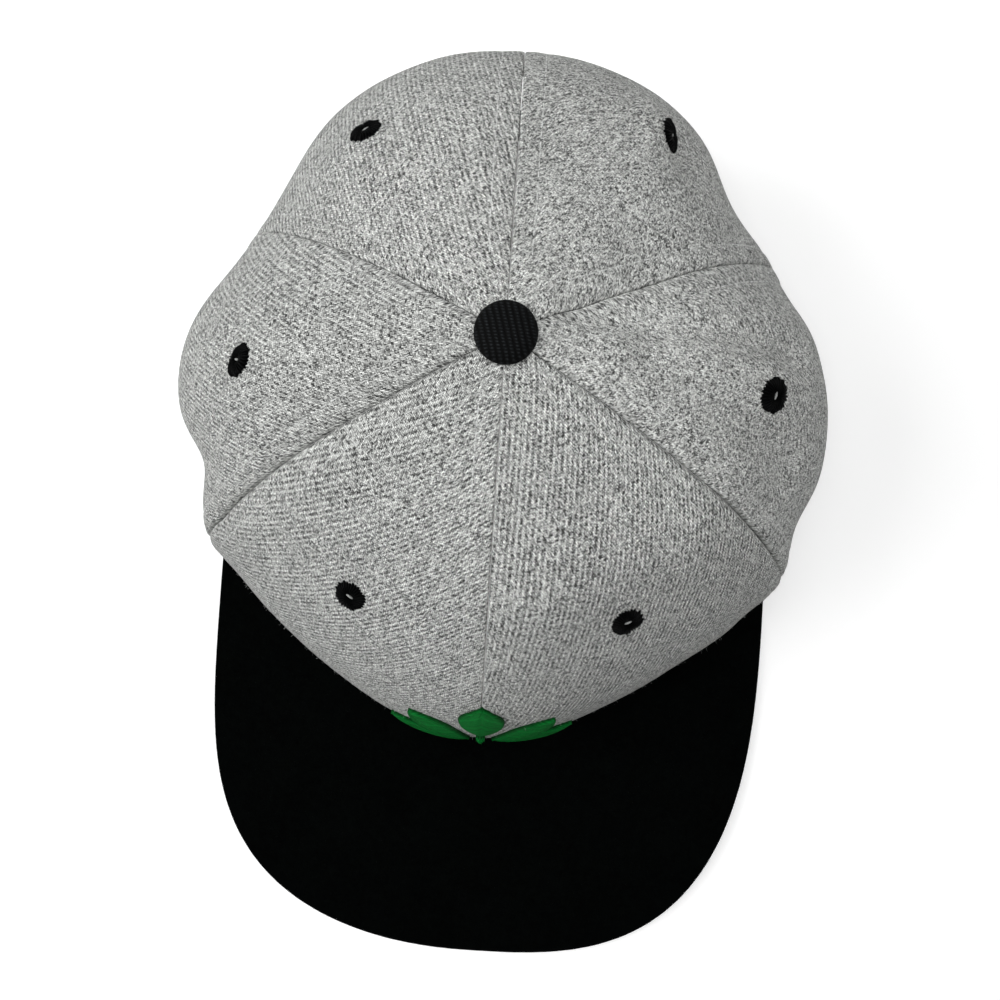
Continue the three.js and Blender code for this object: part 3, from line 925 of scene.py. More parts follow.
def brushed_cloth(settings):
    """Brushed black cloth: a nap of short hairs in clumps, almost without gloss."""
    finish = Finish(
        "brushed_cloth",
        settings.brim_colour,
        1.0,
        specular_ior_level=0.02,
        sheen_weight=0.005,
        sheen_roughness=0.45,
        sheen_tint=(0.75, 0.85, 1.0, 1),
    )
    spot = finish.place()
    nap = finish.noise(spot, 1400, 3, 0.7)
    hairs = finish.noise(spot, 420, 4, 0.65)
    clumps = finish.noise(spot, 90, 3)
    tone = 1 + nap * 1.6 + hairs * 1.8 + clumps * 1.2
    finish.feed("Base Color", finish.shaded(settings.brim_colour, tone))
    finish.relief(nap * 0.5 + hairs, 0.35 * MM)
    return finish.material


def ribbed_cloth(settings):
    """Black ribbed cloth of the button: round cords that lean a little, bound by a fine weft, with
    painted highlights on their crests and painted shade in their grooves.
    """
    finish = Finish("ribbed_cloth", settings.button_colour, 0.85, specular_ior_level=0.1)
    across, down = finish.cloth()
    drift = finish.noise(finish.spot(across, down), 0.5, 1)
    cord = (across + drift * 0.15) * (2 * np.pi / (settings.rib_pitch / MM))
    rib = cord.sine() * 0.5 + 0.5
    weft = (down * (2 * np.pi / 0.75) + cord * 0.5).sine() * 0.5 + 0.5
    height = rib**0.7 * (0.35 + weft * 0.65)
    # Cloudy noise that sets how strong the painted highlights on the crests are.
    fleck = finish.noise(finish.spot(across, down), 2.2, 3, 0.7)
    # The colour grows with the square of the cords' height: painted highlights on the crests and
    # painted shade in the grooves.
    tone = 0.1 + height**2 * (fleck * 14 + 3.2).at_least(0.3)
    finish.feed("Base Color", finish.shaded(settings.button_colour, tone))
    finish.relief(height, 0.3 * MM)
    return finish.material


def band_twill(settings):
    """Fine black cotton twill of the sweatband, with painted shade in the hollows of its weave."""
    finish = Finish("band_twill", settings.band_colour, 0.9, specular_ior_level=0.2)
    across, down = finish.cloth()
    height, warp_up, chance = twill(finish, across, down, 0.4, 0.45)
    # Weft floats are darker than warp floats, and each thread darker where its height falls: painted
    # shade in the weave's hollows.
    tone = 0.6 + warp_up * 0.35 + chance * 0.3
    finish.feed("Base Color", finish.shaded(settings.band_colour, tone * (0.6 + height * 0.5)))
    finish.relief(height, 0.18 * MM)
    return finish.material


def satin_stitch(name, colour, pitch, dark_edge=0.0):
    """Satin stitch: threads side by side across the cloth's first axis, each with its own tone, and
    painted shade at every thread's sides.

    The tone attribute darkens the colour towards an edge.
    """
    finish = Finish(name, colour, 0.55, specular_ior_level=0.05)
    across, down = finish.cloth()
    count = across / pitch
    thread = count.floor()
    beside = count - thread - 0.5
    height = 1 - (beside * 2) ** 2
    own = finish.chance(thread, 3.5)
    fibre = finish.noise(finish.spot(across * 3.5, down * 0.9), 1.0, 4, 0.7)
    # A thread is lighter on its crest and darker at its sides: painted shade between the threads.
    tone = 0.6 + 0.45 * height + (own - 0.5) * 0.5 + fibre * 1.7
    if dark_edge:
        tone = tone * (1 - finish.point_tone() * dark_edge)
    finish.feed("Base Color", finish.shaded(colour, tone))
    finish.relief(height + fibre * 0.4, 0.16 * MM)
    return finish.material


def moulded_plastic(settings):
    """Black moulded plastic: an even fine grain, and a few faint scuffs."""
    finish = Finish("moulded_plastic", settings.strap_colour, 0.42, specular_ior_level=0.45)
    spot = finish.place()
    grain = finish.noise(spot, 2200, 2)
    scuff = finish.noise(spot, 160, 5, 0.7)
    finish.feed("Base Color", finish.shaded(settings.strap_colour, 1 + grain * 0.4 + scuff * 0.5))
    finish.feed("Roughness", 0.42 + scuff * 0.25)
    finish.relief(grain, 0.03 * MM)
    return finish.material


def loose_fibres(settings):
    """Loose fibres of the crown's cloth, most of them on the front.

    Each is a thin closed tube of four rings. Its spine leaves the cloth in a random direction
    round the normal, and bends by another random vector times the square of the way along.
    """
    rng = np.random.default_rng(5)
    count = settings.fibre_count
    in_front = np.arange(count) < count * FRONT_FIBRE_SHARE
    front_azimuth = rng.uniform(-FRONT_FIBRE_AZIMUTH, FRONT_FIBRE_AZIMUTH, count)
    azimuth = np.where(in_front, front_azimuth, rng.uniform(-180, 180, count))
    above = rng.uniform(0.005, np.where(in_front, 0.5, 0.8))
    climb = np.minimum(climb_at_rim(azimuth) + above, 0.95)
    length = rng.uniform(SHORTEST_FIBRE, LONGEST_FIBRE, (count, 1, 1))
    out = unit(crown_normal(azimuth, climb) + rng.normal(0, 0.6, (count, 3)))[:, None]
    bend = rng.normal(0, 0.35, (count, 1, 3))
    share = np.array([0.05, 0.35, 0.68, 0.95])[:, None]
    root = cloth_point(azimuth, climb, 0.05 * MM)[:, None]
    spine = root + out * share * length + bend * share**2 * length
    side = unit(np.cross(out, (0.3, 0.5, 0.8)))
    other = np.cross(out, side)
    around = turn_steps(3)[:, None]
    loop = side[:, :, None] * np.cos(around) + other[:, :, None] * np.sin(around)
    thin = np.array([1, 1, 0.8, 0.5])[:, None, None] * settings.fibre_thickness / 2
    caps = np.concatenate([root, root + (out + bend) * length], 1)
    return tubes(spine[:, :, None] + loop * thin, caps)


# Crown panels

COLUMN_OFFSET = np.concatenate(
    [EDGE_STEPS, np.full(PANEL_COLUMNS, EDGE_REACH), 2 * EDGE_REACH - EDGE_STEPS[::-1]]
)
COLUMN_SHARE = np.concatenate(
    [np.zeros(EDGE_STEPS.size), np.linspace(0, 1, PANEL_COLUMNS + 2)[1:-1], np.ones(EDGE_STEPS.size)]
)
ROW_STEPS = np.array([0, 0.1, 0.3, 0.6, 1, 1.6, 2.6]) * MM


def across_share(width):
    """Share across a panel for every column: near a seam at set distances, and evenly between."""
    shrink = np.minimum(1, width / FULL_WIDTH) / width
    return COLUMN_OFFSET * shrink + COLUMN_SHARE * (1 - 2 * EDGE_REACH * shrink)


def rear_azimuth(x, height, side):
    """Azimuth near the back at which the crown has an x and a height, by repeated correction."""
    turn = x / REAR_REACH
    for _ in range(20):
        azimuth = 180 - side * np.degrees(turn)
        radius = crown_form(azimuth, climb_to_height(azimuth, height))[0]
        turn = np.arcsin(np.clip(x / radius, -1, 1))
    return azimuth


def arch_line(angle, grow, side):
    """Azimuth and climb along the rear opening: a half ellipse, grown by a distance."""
    x = (ARCH_HALF_WIDTH + grow) * np.cos(angle)
    height = (ARCH_HEIGHT + grow) * np.sin(angle)
    azimuth = rear_azimuth(x, height, side)
    return azimuth, climb_to_height(azimuth, height)


def panel_feet(panel, share):
    """Azimuth and climb of each column's foot, on the rim or, at the back, round the opening."""
    if not panel.opens_at_rear:
        azimuth = lerp(panel.start, panel.end, share)
        return azimuth, climb_at_rim(azimuth)
    side = 1 if panel.end == 180 else -1
    towards_back = share if side > 0 else 1 - share
    seam = panel.start if side > 0 else panel.end
    angle = np.clip((towards_back - ARCH_FOOT_SHARE) / (1 - ARCH_FOOT_SHARE), 0, 1) * np.pi / 2
    arch_azimuth, arch_climb = arch_line(angle, 0, side)
    foot = arch_azimuth[0] if side > 0 else arch_azimuth[-1]
    rim_azimuth = lerp(seam, foot, np.minimum(1, towards_back / ARCH_FOOT_SHARE))
    on_rim = towards_back < ARCH_FOOT_SHARE
    azimuth = np.where(on_rim, rim_azimuth, arch_azimuth)
    return azimuth, np.where(on_rim, climb_at_rim(rim_azimuth), arch_climb)


def panel_grid(panel):
    """Azimuth, climb and distance from the foot over a panel.

    A column runs up between the seams. In a rear panel it starts at its foot on the opening, and
    leans over to its even place by the square of what is left of its way. Rows are set at even
    distances along the columns, and closer together next to the foot.
    """
    middle = (panel.start + panel.end) / 2
    span = np.radians(panel.end - panel.start)

    def width_at(climb):
        """The radius at the panel's middle times its span."""
        return crown_form(np.full(np.shape(climb), middle), climb)[0] * span

    foot_share = across_share(width_at(np.array([0.05])))
    foot_azimuth, foot_climb = panel_feet(panel, foot_share)
    even = lerp(panel.start, panel.end, COLUMN_SHARE)
    top_climb = climb_to_radius(even, HOLE_AT_APEX)

    def column_at(up):
        """Azimuth and climb of every column a share of the way up, kept clear of the seams."""
        climb = lerp(foot_climb, top_climb, up**PANEL_EASING)
        azimuth = lerp(panel.start, panel.end, across_share(width_at(climb)))
        left = 1 - np.minimum(1, up**PANEL_EASING / PANEL_LEAN_ENDS)
        azimuth = lerp(azimuth, foot_azimuth, left**2 if panel.opens_at_rear else 0)
        edge = np.degrees(SEAM_CLEARANCE / crown_form(azimuth, climb)[0])
        return np.clip(azimuth, panel.start + edge, panel.end - edge), climb

    dense = np.repeat(np.linspace(0, 1, 400)[:, None], foot_azimuth.size, 1)
    lengths = lengths_along(crown_point(*column_at(dense)))
    rest = np.linspace(0, 1, PANEL_ROWS + 1)[1:, None]
    away = np.concatenate(
        [np.repeat(ROW_STEPS[:, None], foot_azimuth.size, 1), lerp(ROW_STEPS[-1], lengths[-1], rest)]
    )
    pairs = zip(away.T, lengths.T, dense.T)
    up = np.stack([np.interp(wanted, length, share) for wanted, length, share in pairs], 1)
    azimuth, climb = column_at(up)
    return azimuth, climb, away, lengths[-1] - away


def panel_piece(panel, finish, settings):
    """A panel as a shell: both faces on the draped crown, rounded at the foot and at the seams."""
    azimuth, climb, away, down = panel_grid(panel)
    fallen = rounded_edge(away, CLOTH_THICKNESS / 2)
    outer = cloth_point(azimuth, climb, grooves(azimuth, climb, settings) + fallen)
    inner = cloth_point(azimuth, climb, CLOTH_THICKNESS - fallen)
    middle = (panel.start + panel.end) / 2
    across = crown_form(azimuth, climb)[0] * np.radians(azimuth - middle)
    grain = np.radians(panel.grain)
    warpwise = across * np.cos(grain) - down * np.sin(grain)
    weftwise = down * np.cos(grain) + across * np.sin(grain)
    uv = np.stack([warpwise, weftwise], -1).reshape(-1, 2) / MM
    cells = (outer[:-1, :-1] + outer[1:, 1:]) / 2
    keep = np.ones(cells.shape[:2], bool)
    for eyelet in EYELETS:
        centre = cloth_point(eyelet.azimuth, eyelet.climb)
        keep &= np.linalg.norm(cells - centre, axis=-1) > EYELET_CUT
    points, quads, kept = slab(outer, inner, keep)
    uv = np.concatenate([uv, uv])[kept]
    ribs = np.full(len(points), panel.ribs)
    replaced = [f"panel_{panel.name}"]
    make_piece(f"cloth_{panel.name}", points, quads, finish, "crown_cloth", replaced, uv, ribs)


def seam_threads(settings):
    """Topstitching on both sides of every seam, and two rows round the rear opening."""
    parts = []

    def sew(azimuth, climb):
        """A row of stitches in the grooved face of the cloth."""
        depth = grooves(azimuth, climb, settings)
        path = cloth_point(azimuth, climb, depth)
        normals = crown_normal(azimuth, climb)
        thickness = settings.thread_thickness
        parts.append(stitches(path, normals, STITCH_LENGTH, STITCH_GAP, thickness))

    for seam, _ in SEAMS:
        start = ARCH_HEIGHT + 1 * MM if seam == 180 else 2 * MM
        foot = climb_at_rim(np.array([float(seam)]))[0]
        low = max(climb_to_height(float(seam), start), foot + 0.01)
        climb = lerp(low, 0.93, np.linspace(0, 1, 300))
        radius = crown_form(np.full(300, float(seam)), climb)[0]
        inset = settings.topstitch_inset * narrowing(radius)
        for side in (-1, 1):
            sew(seam + side * np.degrees(inset / radius), climb)
    for side in (-1, 1):
        for grow in ROWS_ROUND_OPENING:
            angle = np.linspace(0.04, np.pi / 2 - 0.06, 200)
            sew(*arch_line(angle, grow, side))
    return joined(parts)


# Trim


def seat(points, azimuth, climb, depth=0.0, turn=0.0):
    """Points drawn round +Z, moved to the cloth and turned, with +Z along its draped normal."""
    small = 2 * MM
    uphill, beside, normal = cloth_axes(azimuth, climb)
    spot = crown_point(azimuth, climb)
    seated = spot + normal * drape(spot)
    slopes = [
        (drape(spot + small * axis) - drape(spot - small * axis)) / (2 * small)
        for axis in (uphill, beside)
    ]
    normal = unit(normal - slopes[0] * uphill - slopes[1] * beside)
    uphill = unit(uphill - (uphill @ normal) * normal)
    beside = np.cross(uphill, normal)
    angle = np.radians(turn)
    x_axis = beside * np.cos(angle) + uphill * np.sin(angle)
    y_axis = uphill * np.cos(angle) - beside * np.sin(angle)
    return seated + (points - (0, 0, depth)) @ np.stack([x_axis, y_axis, normal])


def seated_tube(rings, caps, azimuth, climb, depth=0.0, turn=0.0):
    """A closed tube drawn round +Z, moved to the cloth."""
    place = (azimuth, climb, depth, turn)
    return tubes(seat(rings, *place)[None], seat(caps, *place)[None])


def eyelet_mesh(settings, seed):
    """A satin-stitched ring, right through the cloth, as a profile carried round a slit.

    The profile is a closed loop from the bore over the outer roll, down round the cloth and back
    inside. Each stitch lifts it by a raised sine, and the stitches' ends make a saw-toothed rim.
    """
    rng = np.random.default_rng(seed)
    per_stitch = 6
    stitches_round = settings.eyelet_stitches
    angle = turn_steps(stitches_round * per_stitch)
    stitch = np.abs(np.sin(angle / 2 * stitches_round))
    uneven = np.repeat(rng.uniform(0, 1, stitches_round) ** 1.5, per_stitch)
    outside = settings.eyelet_diameter / 2 - 0.55 * MM * (1 - stitch) - uneven * 0.6 * MM
    along = np.linspace(0, 1, 12)
    slit = np.hypot(SLIT_HALF_LENGTH * np.cos(angle), SLIT_HALF_WIDTH * np.sin(angle))
    crest = settings.eyelet_rise * (0.8 + 0.2 * stitch)
    top_radius = lerp(slit[:, None], outside[:, None], along)
    hump = np.sin(np.pi * along**0.72) ** 0.55
    top_height = crest[:, None] * hump - 0.1 * MM + 0 * top_radius
    inner_radius = lerp(outside[:, None] * 0.93, slit[:, None], along)
    inner_height = -CLOTH_THICKNESS - 0.55 * MM * np.sin(np.pi * along) ** 0.6 + 0 * inner_radius
    bore = np.linspace(-CLOTH_THICKNESS, 0, 5)[1:-1]
    radius = np.concatenate([top_radius, inner_radius, np.repeat(slit[:, None], bore.size, 1)], 1)
    height = np.concatenate([top_height, inner_height, np.repeat(bore[None], angle.size, 0)], 1)
    x = radius * np.cos(angle)[:, None]
    y = radius * np.sin(angle)[:, None]
    points = np.stack([x, y, height], -1)
    length = np.concatenate([lerp(0, 3, along), lerp(4, 7, along), np.linspace(7, 9, bore.size)])
    count = np.repeat(angle[:, None] / (2 * np.pi) * stitches_round, radius.shape[1], 1)
    uv = np.stack([count, np.broadcast_to(length, radius.shape)], -1)
    return points, uv


def eyelet_hearts():
    """A little cut cloth in the slit of every eyelet: a flat dome, longer than wide."""
    around = turn_steps(12)
    down = np.array([0.35, 0.7, 1.0, 0.6]) * np.pi / 2
    side = np.array([1, 1, 1, -1])
    x = HEART_HALF_LENGTH * np.sin(down)[:, None] * np.cos(around)
    y = -HEART_HALF_WIDTH * np.sin(down)[:, None] * np.sin(around)
    z = HEART_RISE * (np.cos(down) * side)[:, None] + 0 * x
    rings = np.stack([x, y, z], -1)
    caps = np.array([[0, 0, HEART_RISE], [0, 0, -HEART_RISE]])
    places = [(eyelet.azimuth, eyelet.climb, -HEART_SINK, eyelet.turn) for eyelet in EYELETS]
    return joined([seated_tube(rings, caps, *place) for place in places])


def button_mesh(settings):
    """The covered button: rings from its crown down the rounded side to its flat foot and shank.

    Height falls as a power of the cosine of the angle down, and radius grows as a power of its
    sine.
    """
    rise = settings.button_rise
    down = np.linspace(0.04, 1, 26) * np.pi / 2
    radius = BUTTON_RADIUS * np.sin(down) ** 0.62
    height = rise * (0.22 + 0.78 * np.cos(down) ** 0.92)
    foot_radius = BUTTON_RADIUS * np.array([0.995, 0.97, 0.9, 0.75, 0.3, 0.26, 0.26])
    foot_height = rise * np.array([0.14, 0.06, 0.0, -0.04, -0.06, -0.1, -0.45])
    radius = np.concatenate([radius, foot_radius])
    height = np.concatenate([height, foot_height])
    around = turn_steps(96)
    x = radius[:, None] * np.cos(around)
    y = -radius[:, None] * np.sin(around)
    rings = np.stack([x, y, height[:, None] + 0 * x], -1)[None]
    caps = np.array([[[0, 0, rise], [0, 0, height[-1]]]])
    return rings, caps


def leaf_grid(leaf):
    """A padded leaf or the stem: outer and inner sheet, its cloth place and its edge tone.

    Its breadth swells as a sine of the way up, it is domed as a parabola across, and its rim
    is a raised roll. A leaf also has a sunken vein, and the stem keeps one breadth.
    """
    lean = np.radians(leaf.lean)
    up = (1 - np.cos(np.linspace(0, 1, LEAF_ROWS) * np.pi)) / 2
    across = np.sin(np.linspace(-1, 1, LEAF_COLUMNS) * np.pi / 2)
    up, across = np.meshgrid(up, across, indexing="ij")
    swell = np.maximum(0.05, np.sin(np.pi * np.clip(up, 0, 1) ** 1.25) ** 0.85)
    if leaf.name == "stem":
        swell = np.ones(up.shape)
    length = leaf.length * SPRIG_HEIGHT
    half = swell * leaf.breadth * SPRIG_HALF_WIDTH
    x = leaf.across * SPRIG_HALF_WIDTH + np.sin(lean) * up * length + np.cos(lean) * across * half
    z = SPRIG_FOOT + leaf.up * SPRIG_HEIGHT
    z = z + np.cos(lean) * up * length - np.sin(lean) * across * half
    azimuth = np.degrees(x / FRONT_REACH)
    climb = climb_to_height(azimuth, z)
    edge = np.maximum(np.abs(across), smoothstep(np.abs(up * 2 - 1), 0.86, 1))
    dome = SPRIG_RISE * (1 - across**2) * np.sqrt(swell)
    border = 0.3 * MM * bell(edge - 0.86, 0.1)
    vein = -0.28 * MM * bell(across, 0.09) * (leaf.name != "stem")
    rim = np.sqrt(np.clip(1 - np.clip((edge - 0.9) / 0.1, 0, 1) ** 2, 0, 1))
    height = (SPRIG_EDGE + dome + border + vein) * rim
    outer = cloth_point(azimuth, climb, -height - 0.02 * MM)
    inner = cloth_point(azimuth, climb, np.full(azimuth.shape, 0.35 * MM))
    slant = up * length + np.abs(across) * half * 0.75
    uv = np.stack([slant, across * half], -1) / MM
    tone = smoothstep(edge, 0.86, 1)
    return outer, inner, uv, tone


# Brim, band and strap


def brim_outline(share):
    """Brim outline from one end on the rim, round the front, to the other, share from -1 to 1.

    Its front is a quarter of a superellipse on each side, and its tail a quarter ellipse that
    runs in to the crown's outer face.
    """
    right = share > 0
    side = np.sign(share)
    reach, flank, front = (np.where(right, a, b) for a, b in zip(RIGHT_CORNER, LEFT_CORNER))
    half_width = BRIM_HALF_WIDTH * reach
    shoulder = -CROWN_HALF_LENGTH * BRIM_SHOULDER
    angle = np.clip(np.abs(share) / BRIM_FRONT_SHARE, 0, 1) * np.pi / 2
    x = side * half_width * np.sin(angle) ** (2 / flank)
    depth = FRONT_REACH + BRIM_DEPTH + shoulder
    y = shoulder - depth * np.maximum(0, np.cos(angle)) ** (2 / front)
    tail = np.clip((np.abs(share) - BRIM_FRONT_SHARE) / (1 - BRIM_FRONT_SHARE), 0, 1) * np.pi / 2
    end_azimuth = side * BRIM_END_AZIMUTH
    end = crown_point(end_azimuth, climb_at_rim(end_azimuth))
    tail_x = end[..., 0] + (side * half_width - end[..., 0]) * np.cos(tail)
    tail_y = shoulder + (end[..., 1] - shoulder) * np.sin(tail)
    in_tail = tail > 0
    return np.stack([np.where(in_tail, tail_x, x), np.where(in_tail, tail_y, y)], -1)


def brim_layer(depth_above, depth_below, rounding_above, rounding_below):
    """One layer of the brim, ruled from its outline to the crown's inner face.

    A face with a rounding falls away at the outer edge. Where a rounding is 0, the outermost row
    of that face and of the face under it gets no height, and lies at that of the frame's origin.
    """
    dense = np.linspace(-1, 1, 4001)
    lengths = lengths_along(brim_outline(dense))
    share = np.interp(np.linspace(0, lengths[-1], BRIM_COLUMNS + 1), lengths, dense)
    azimuth = share * BRIM_END_AZIMUTH
    climb = climb_at_rim(azimuth)
    inner = (crown_point(azimuth, climb) - crown_normal(azimuth, climb) * CLOTH_THICKNESS)[..., :2]
    edge = brim_outline(share)
    width = np.linalg.norm(inner - edge, axis=-1)
    near = BRIM_EDGE_STEPS[:, None] / width
    rest = lerp(near[-1], 1, np.linspace(0, 1, BRIM_ROWS + 1)[1:, None])
    inwards = np.concatenate([near, rest])
    place = lerp(edge, inner, inwards[..., None])
    x, y = place[..., 0], place[..., 1]
    away = inwards * width
    nap = np.random.default_rng(5).uniform(-1, 1, x.shape) * NAP_RISE
    top = brim_top_at(x, y)
    above = top - depth_above - rounded_edge(away, rounding_above) + nap * (rounding_above > 0)
    below = top - depth_below + rounded_edge(away, rounding_below) + nap * (rounding_below > 0)
    below = np.minimum(below, above - 0.02 * MM)
    return np.stack([x, y, above], -1), np.stack([x, y, below], -1)


def lining_strip(start, end, foot, top, depth, thickness, columns, rows):
    """A strip along the inside of the crown between two azimuths, with rounded edges.

    Returns the face towards the cloth, the face towards the head, the azimuths and the heights.
    """
    azimuth = np.linspace(start, end, columns)[None]
    low = foot(*rim_place(azimuth))
    inside = lerp(BAND_EDGE_STEPS[-1], 1, np.linspace(0, 1, rows + 1))
    size = top - low
    near = BAND_EDGE_STEPS[:, None] / size
    between = lerp(near[-1], 1 - near[-1], inside[1:-1, None])
    height = low + size * np.concatenate([near, between, 1 - near[::-1]])
    azimuth = np.broadcast_to(azimuth, height.shape)
    climb = climb_to_height(azimuth, height)
    away = np.minimum(height - low, top - height)
    fallen = rounded_edge(away, thickness / 2)
    outer = cloth_point(azimuth, climb, depth + fallen)
    inner = cloth_point(azimuth, climb, depth + thickness - fallen)
    outer[..., 2] = inner[..., 2] = height
    return outer, inner, azimuth, height


def band_foot(x, y):
    """Height of the band's lower edge: above the brim in front, close to the ground behind."""
    return np.maximum(BAND_LIFT, rim_height_at(x, y) - BRIM_THICKNESS - SEAM_GAP)


def strap_foot(x, y):
    """Height of the strap's lower edge: even all round."""
    return STRAP_LIFT + 0 * x


def stud_mesh(settings):
    """A stud of the strap: a turned profile of radius and height, in shares, round +Z."""
    profile = [(0.8, -1.0), (1, -0.9), (1, 0.35), (0.95, 0.5), (0.75, 0.62), (0.4, 0.68)]
    share, height = np.array(profile).T[..., None]
    radius = share * settings.stud_diameter / 2
    around = turn_steps(24)
    rings = [radius * np.cos(around), radius * np.sin(around), height * STUD_HEIGHT + 0 * around]
    caps = np.array([[0, 0, -STUD_HEIGHT], [0, 0, STUD_TIP]])
    return np.stack(rings, -1), caps


# Settings


def length_setting(name, description, default):
    """A length that a user may change."""
    return bpy.props.FloatProperty(
        name=name, description=description, unit="LENGTH", default=default
    )


def colour_setting(name, description, default):
    """A colour that a user may change."""
    return bpy.props.FloatVectorProperty(
        name=name, description=description, subtype="COLOR", default=default, min=0, max=1
    )


def power_setting(name, description, default):
    """A lamp's power, in watts."""
    return bpy.props.FloatProperty(
        name=name, description=description, unit="POWER", default=default
    )


class CapCrownSettings(bpy.types.PropertyGroup):
    """Colours and sizes of the crown's cloth, thread and loose fibres"""

    cloth_colour: colour_setting("Cloth colour", "Colour of the twill", (0.62, 0.63, 0.61))
    warp_pitch: length_setting("Warp pitch", "Distance between warp threads", 0.385 * MM)
    weft_pitch: length_setting("Weft pitch", "Distance between weft threads", 0.546 * MM)
    thread_colour: colour_setting(
        "Thread colour", "Colour of the topstitching and loose fibres", (0.66, 0.67, 0.66)
    )
    thread_thickness: length_setting(
        "Thread thickness", "Thickness of the topstitching", 0.34 * MM
    )
    topstitch_inset: length_setting(
        "Topstitch inset", "From a seam to the row beside it", 5.5 * MM
    )
    fibre_count: bpy.props.IntProperty(
        name="Loose fibres", description="Fibres that stand off the crown", default=2800, min=1
    )
    fibre_thickness: length_setting(
        "Fibre thickness", "Thickness of a loose fibre", 0.04 * MM
    )


class CapTrimSettings(bpy.types.PropertyGroup):
    """Colours and sizes of the button and the eyelets"""

    button_colour: colour_setting(
        "Button colour", "Colour of the covered button", (0.0042, 0.0048, 0.0052)
    )
    button_rise: length_setting("Button rise", "Height of the button over the cloth", 5 * MM)
    rib_pitch: length_setting("Rib pitch", "Distance between the button's ribs", 1.4 * MM)
    eyelet_colour: colour_setting(
        "Eyelet colour", "Colour of the eyelets' thread", (0.0007, 0.0009, 0.001)
    )
    eyelet_diameter: length_setting("Eyelet diameter", "Across an eyelet's stitches", 9.2 * MM)
    eyelet_rise: length_setting("Eyelet rise", "Height of an eyelet over the cloth", 1.1 * MM)
    eyelet_stitches: bpy.props.IntProperty(
        name="Eyelet stitches", description="Stitches round an eyelet", default=30, min=12
    )


class CapBrimSettings(bpy.types.PropertyGroup):
    """Colour of the brim"""

    brim_colour: colour_setting(
        "Brim colour", "Colour of the brushed cloth", (0.0007, 0.001, 0.0009)
    )


class CapBandSettings(bpy.types.PropertyGroup):
    """Colours and sizes of the sweatband and the strap"""

    band_colour: colour_setting("Band colour", "Colour of the sweatband", (0.02, 0.021, 0.023))
    strap_colour: colour_setting(
        "Strap colour", "Colour of the plastic strap", (0.018, 0.019, 0.021)
    )
    stud_diameter: length_setting("Stud diameter", "Across a stud of the strap", 4.8 * MM)


class CapSprigSettings(bpy.types.PropertyGroup):
    """Colour and stitch of the leaf sprig"""

    leaf_colour: colour_setting("Leaf colour", "Colour of the sprig's thread", (0.001, 0.17, 0.024))
    stitch_pitch: length_setting(
        "Stitch pitch", "Distance between the sprig's threads", 0.42 * MM
    )


class CapStageSettings(bpy.types.PropertyGroup):
    """The floor and the strength of its lights"""

    floor_colour: colour_setting("Floor colour", "Colour of the floor", (0.9, 0.9, 0.9))
    floor_glow: bpy.props.FloatProperty(
        name="Floor glow", description="Light of the floor's own, which keeps its shadow pale",
        default=0.3,
    )
    key_power: power_setting("Key light", "Power of the soft light on the left", 13.4)
    top_power: power_setting("Top light", "Power of the soft light overhead", 2.3)
    sky_strength: bpy.props.FloatProperty(
        name="Sky", description="Strength of the even light all round", default=0.06,
    )


# Operators


class CAP_OT_crown(bpy.types.Operator):
    """Cuts and drapes the six twill panels of the crown"""

    bl_idname = "cap.crown"
    bl_label = "Crown panels"

    def execute(self, context):
        settings = context.scene.cap_crown
        finish = heather_twill(settings)
        for panel in PANELS:
            panel_piece(panel, finish, settings)
        return {"FINISHED"}


class CAP_OT_topstitching(bpy.types.Operator):
    """Sews the rows beside the seams and round the rear opening, and adds the loose fibres"""

    bl_idname = "cap.topstitching"
    bl_label = "Topstitching"

    def execute(self, context):
        settings = context.scene.cap_crown
        points, faces = seam_threads(settings)
        finish = thread_finish("grey_thread", settings.thread_colour)
        make_piece("topstitching", points, faces, finish, "crown_cloth")
        points, *faces = loose_fibres(settings)
        wool = thread_finish("loose_wool", settings.thread_colour)
        make_piece("loose_fibres", points, faces, wool, "crown_cloth")
        return {"FINISHED"}


class CAP_OT_eyelets(bpy.types.Operator):
    """Works the six satin-stitched eyelets"""

    bl_idname = "cap.eyelets"
    bl_label = "Eyelets"

    def execute(self, context):
        settings = context.scene.cap_trim
        finish = satin_stitch("eyelet_satin", settings.eyelet_colour, 1.0)
        for seed, eyelet in enumerate(EYELETS):
            points, uv = eyelet_mesh(settings, seed)
            quads = closed_ring(points)
            placed = seat(points, eyelet.azimuth, eyelet.climb, turn=eyelet.turn).reshape(-1, 3)
            make_piece(
                f"satin_eyelet_{eyelet.name}", placed, quads, finish,
                "eyelet_thread", [f"eyelet_{eyelet.name}"], uv.reshape(-1, 2),
            )
        cut_cloth = thread_finish("cut_cloth", (0.3, 0.31, 0.3))
        make_piece("eyelet_hearts", *eyelet_hearts(), cut_cloth, "crown_cloth")
        return {"FINISHED"}


class CAP_OT_button(bpy.types.Operator):
    """Covers the button on top with ribbed cloth"""

    bl_idname = "cap.button"
    bl_label = "Covered button"

    def execute(self, context):
        settings = context.scene.cap_trim
        points, *faces = tubes(*button_mesh(settings))
        lean = np.radians(BUTTON_WEAVE_LEAN)
        across = points[:, 0] * np.cos(lean) + points[:, 1] * np.sin(lean)
        down = points[:, 1] * np.cos(lean) - points[:, 0] * np.sin(lean)
        uv = np.stack([across, down], -1) / MM
        top = np.array([0, APEX_SETBACK, CROWN_HEIGHT])
        finish = ribbed_cloth(settings)
        make_piece(
            "covered_button", points + top, faces, finish, "button_cloth", ["top_button"], uv
        )
        return {"FINISHED"}


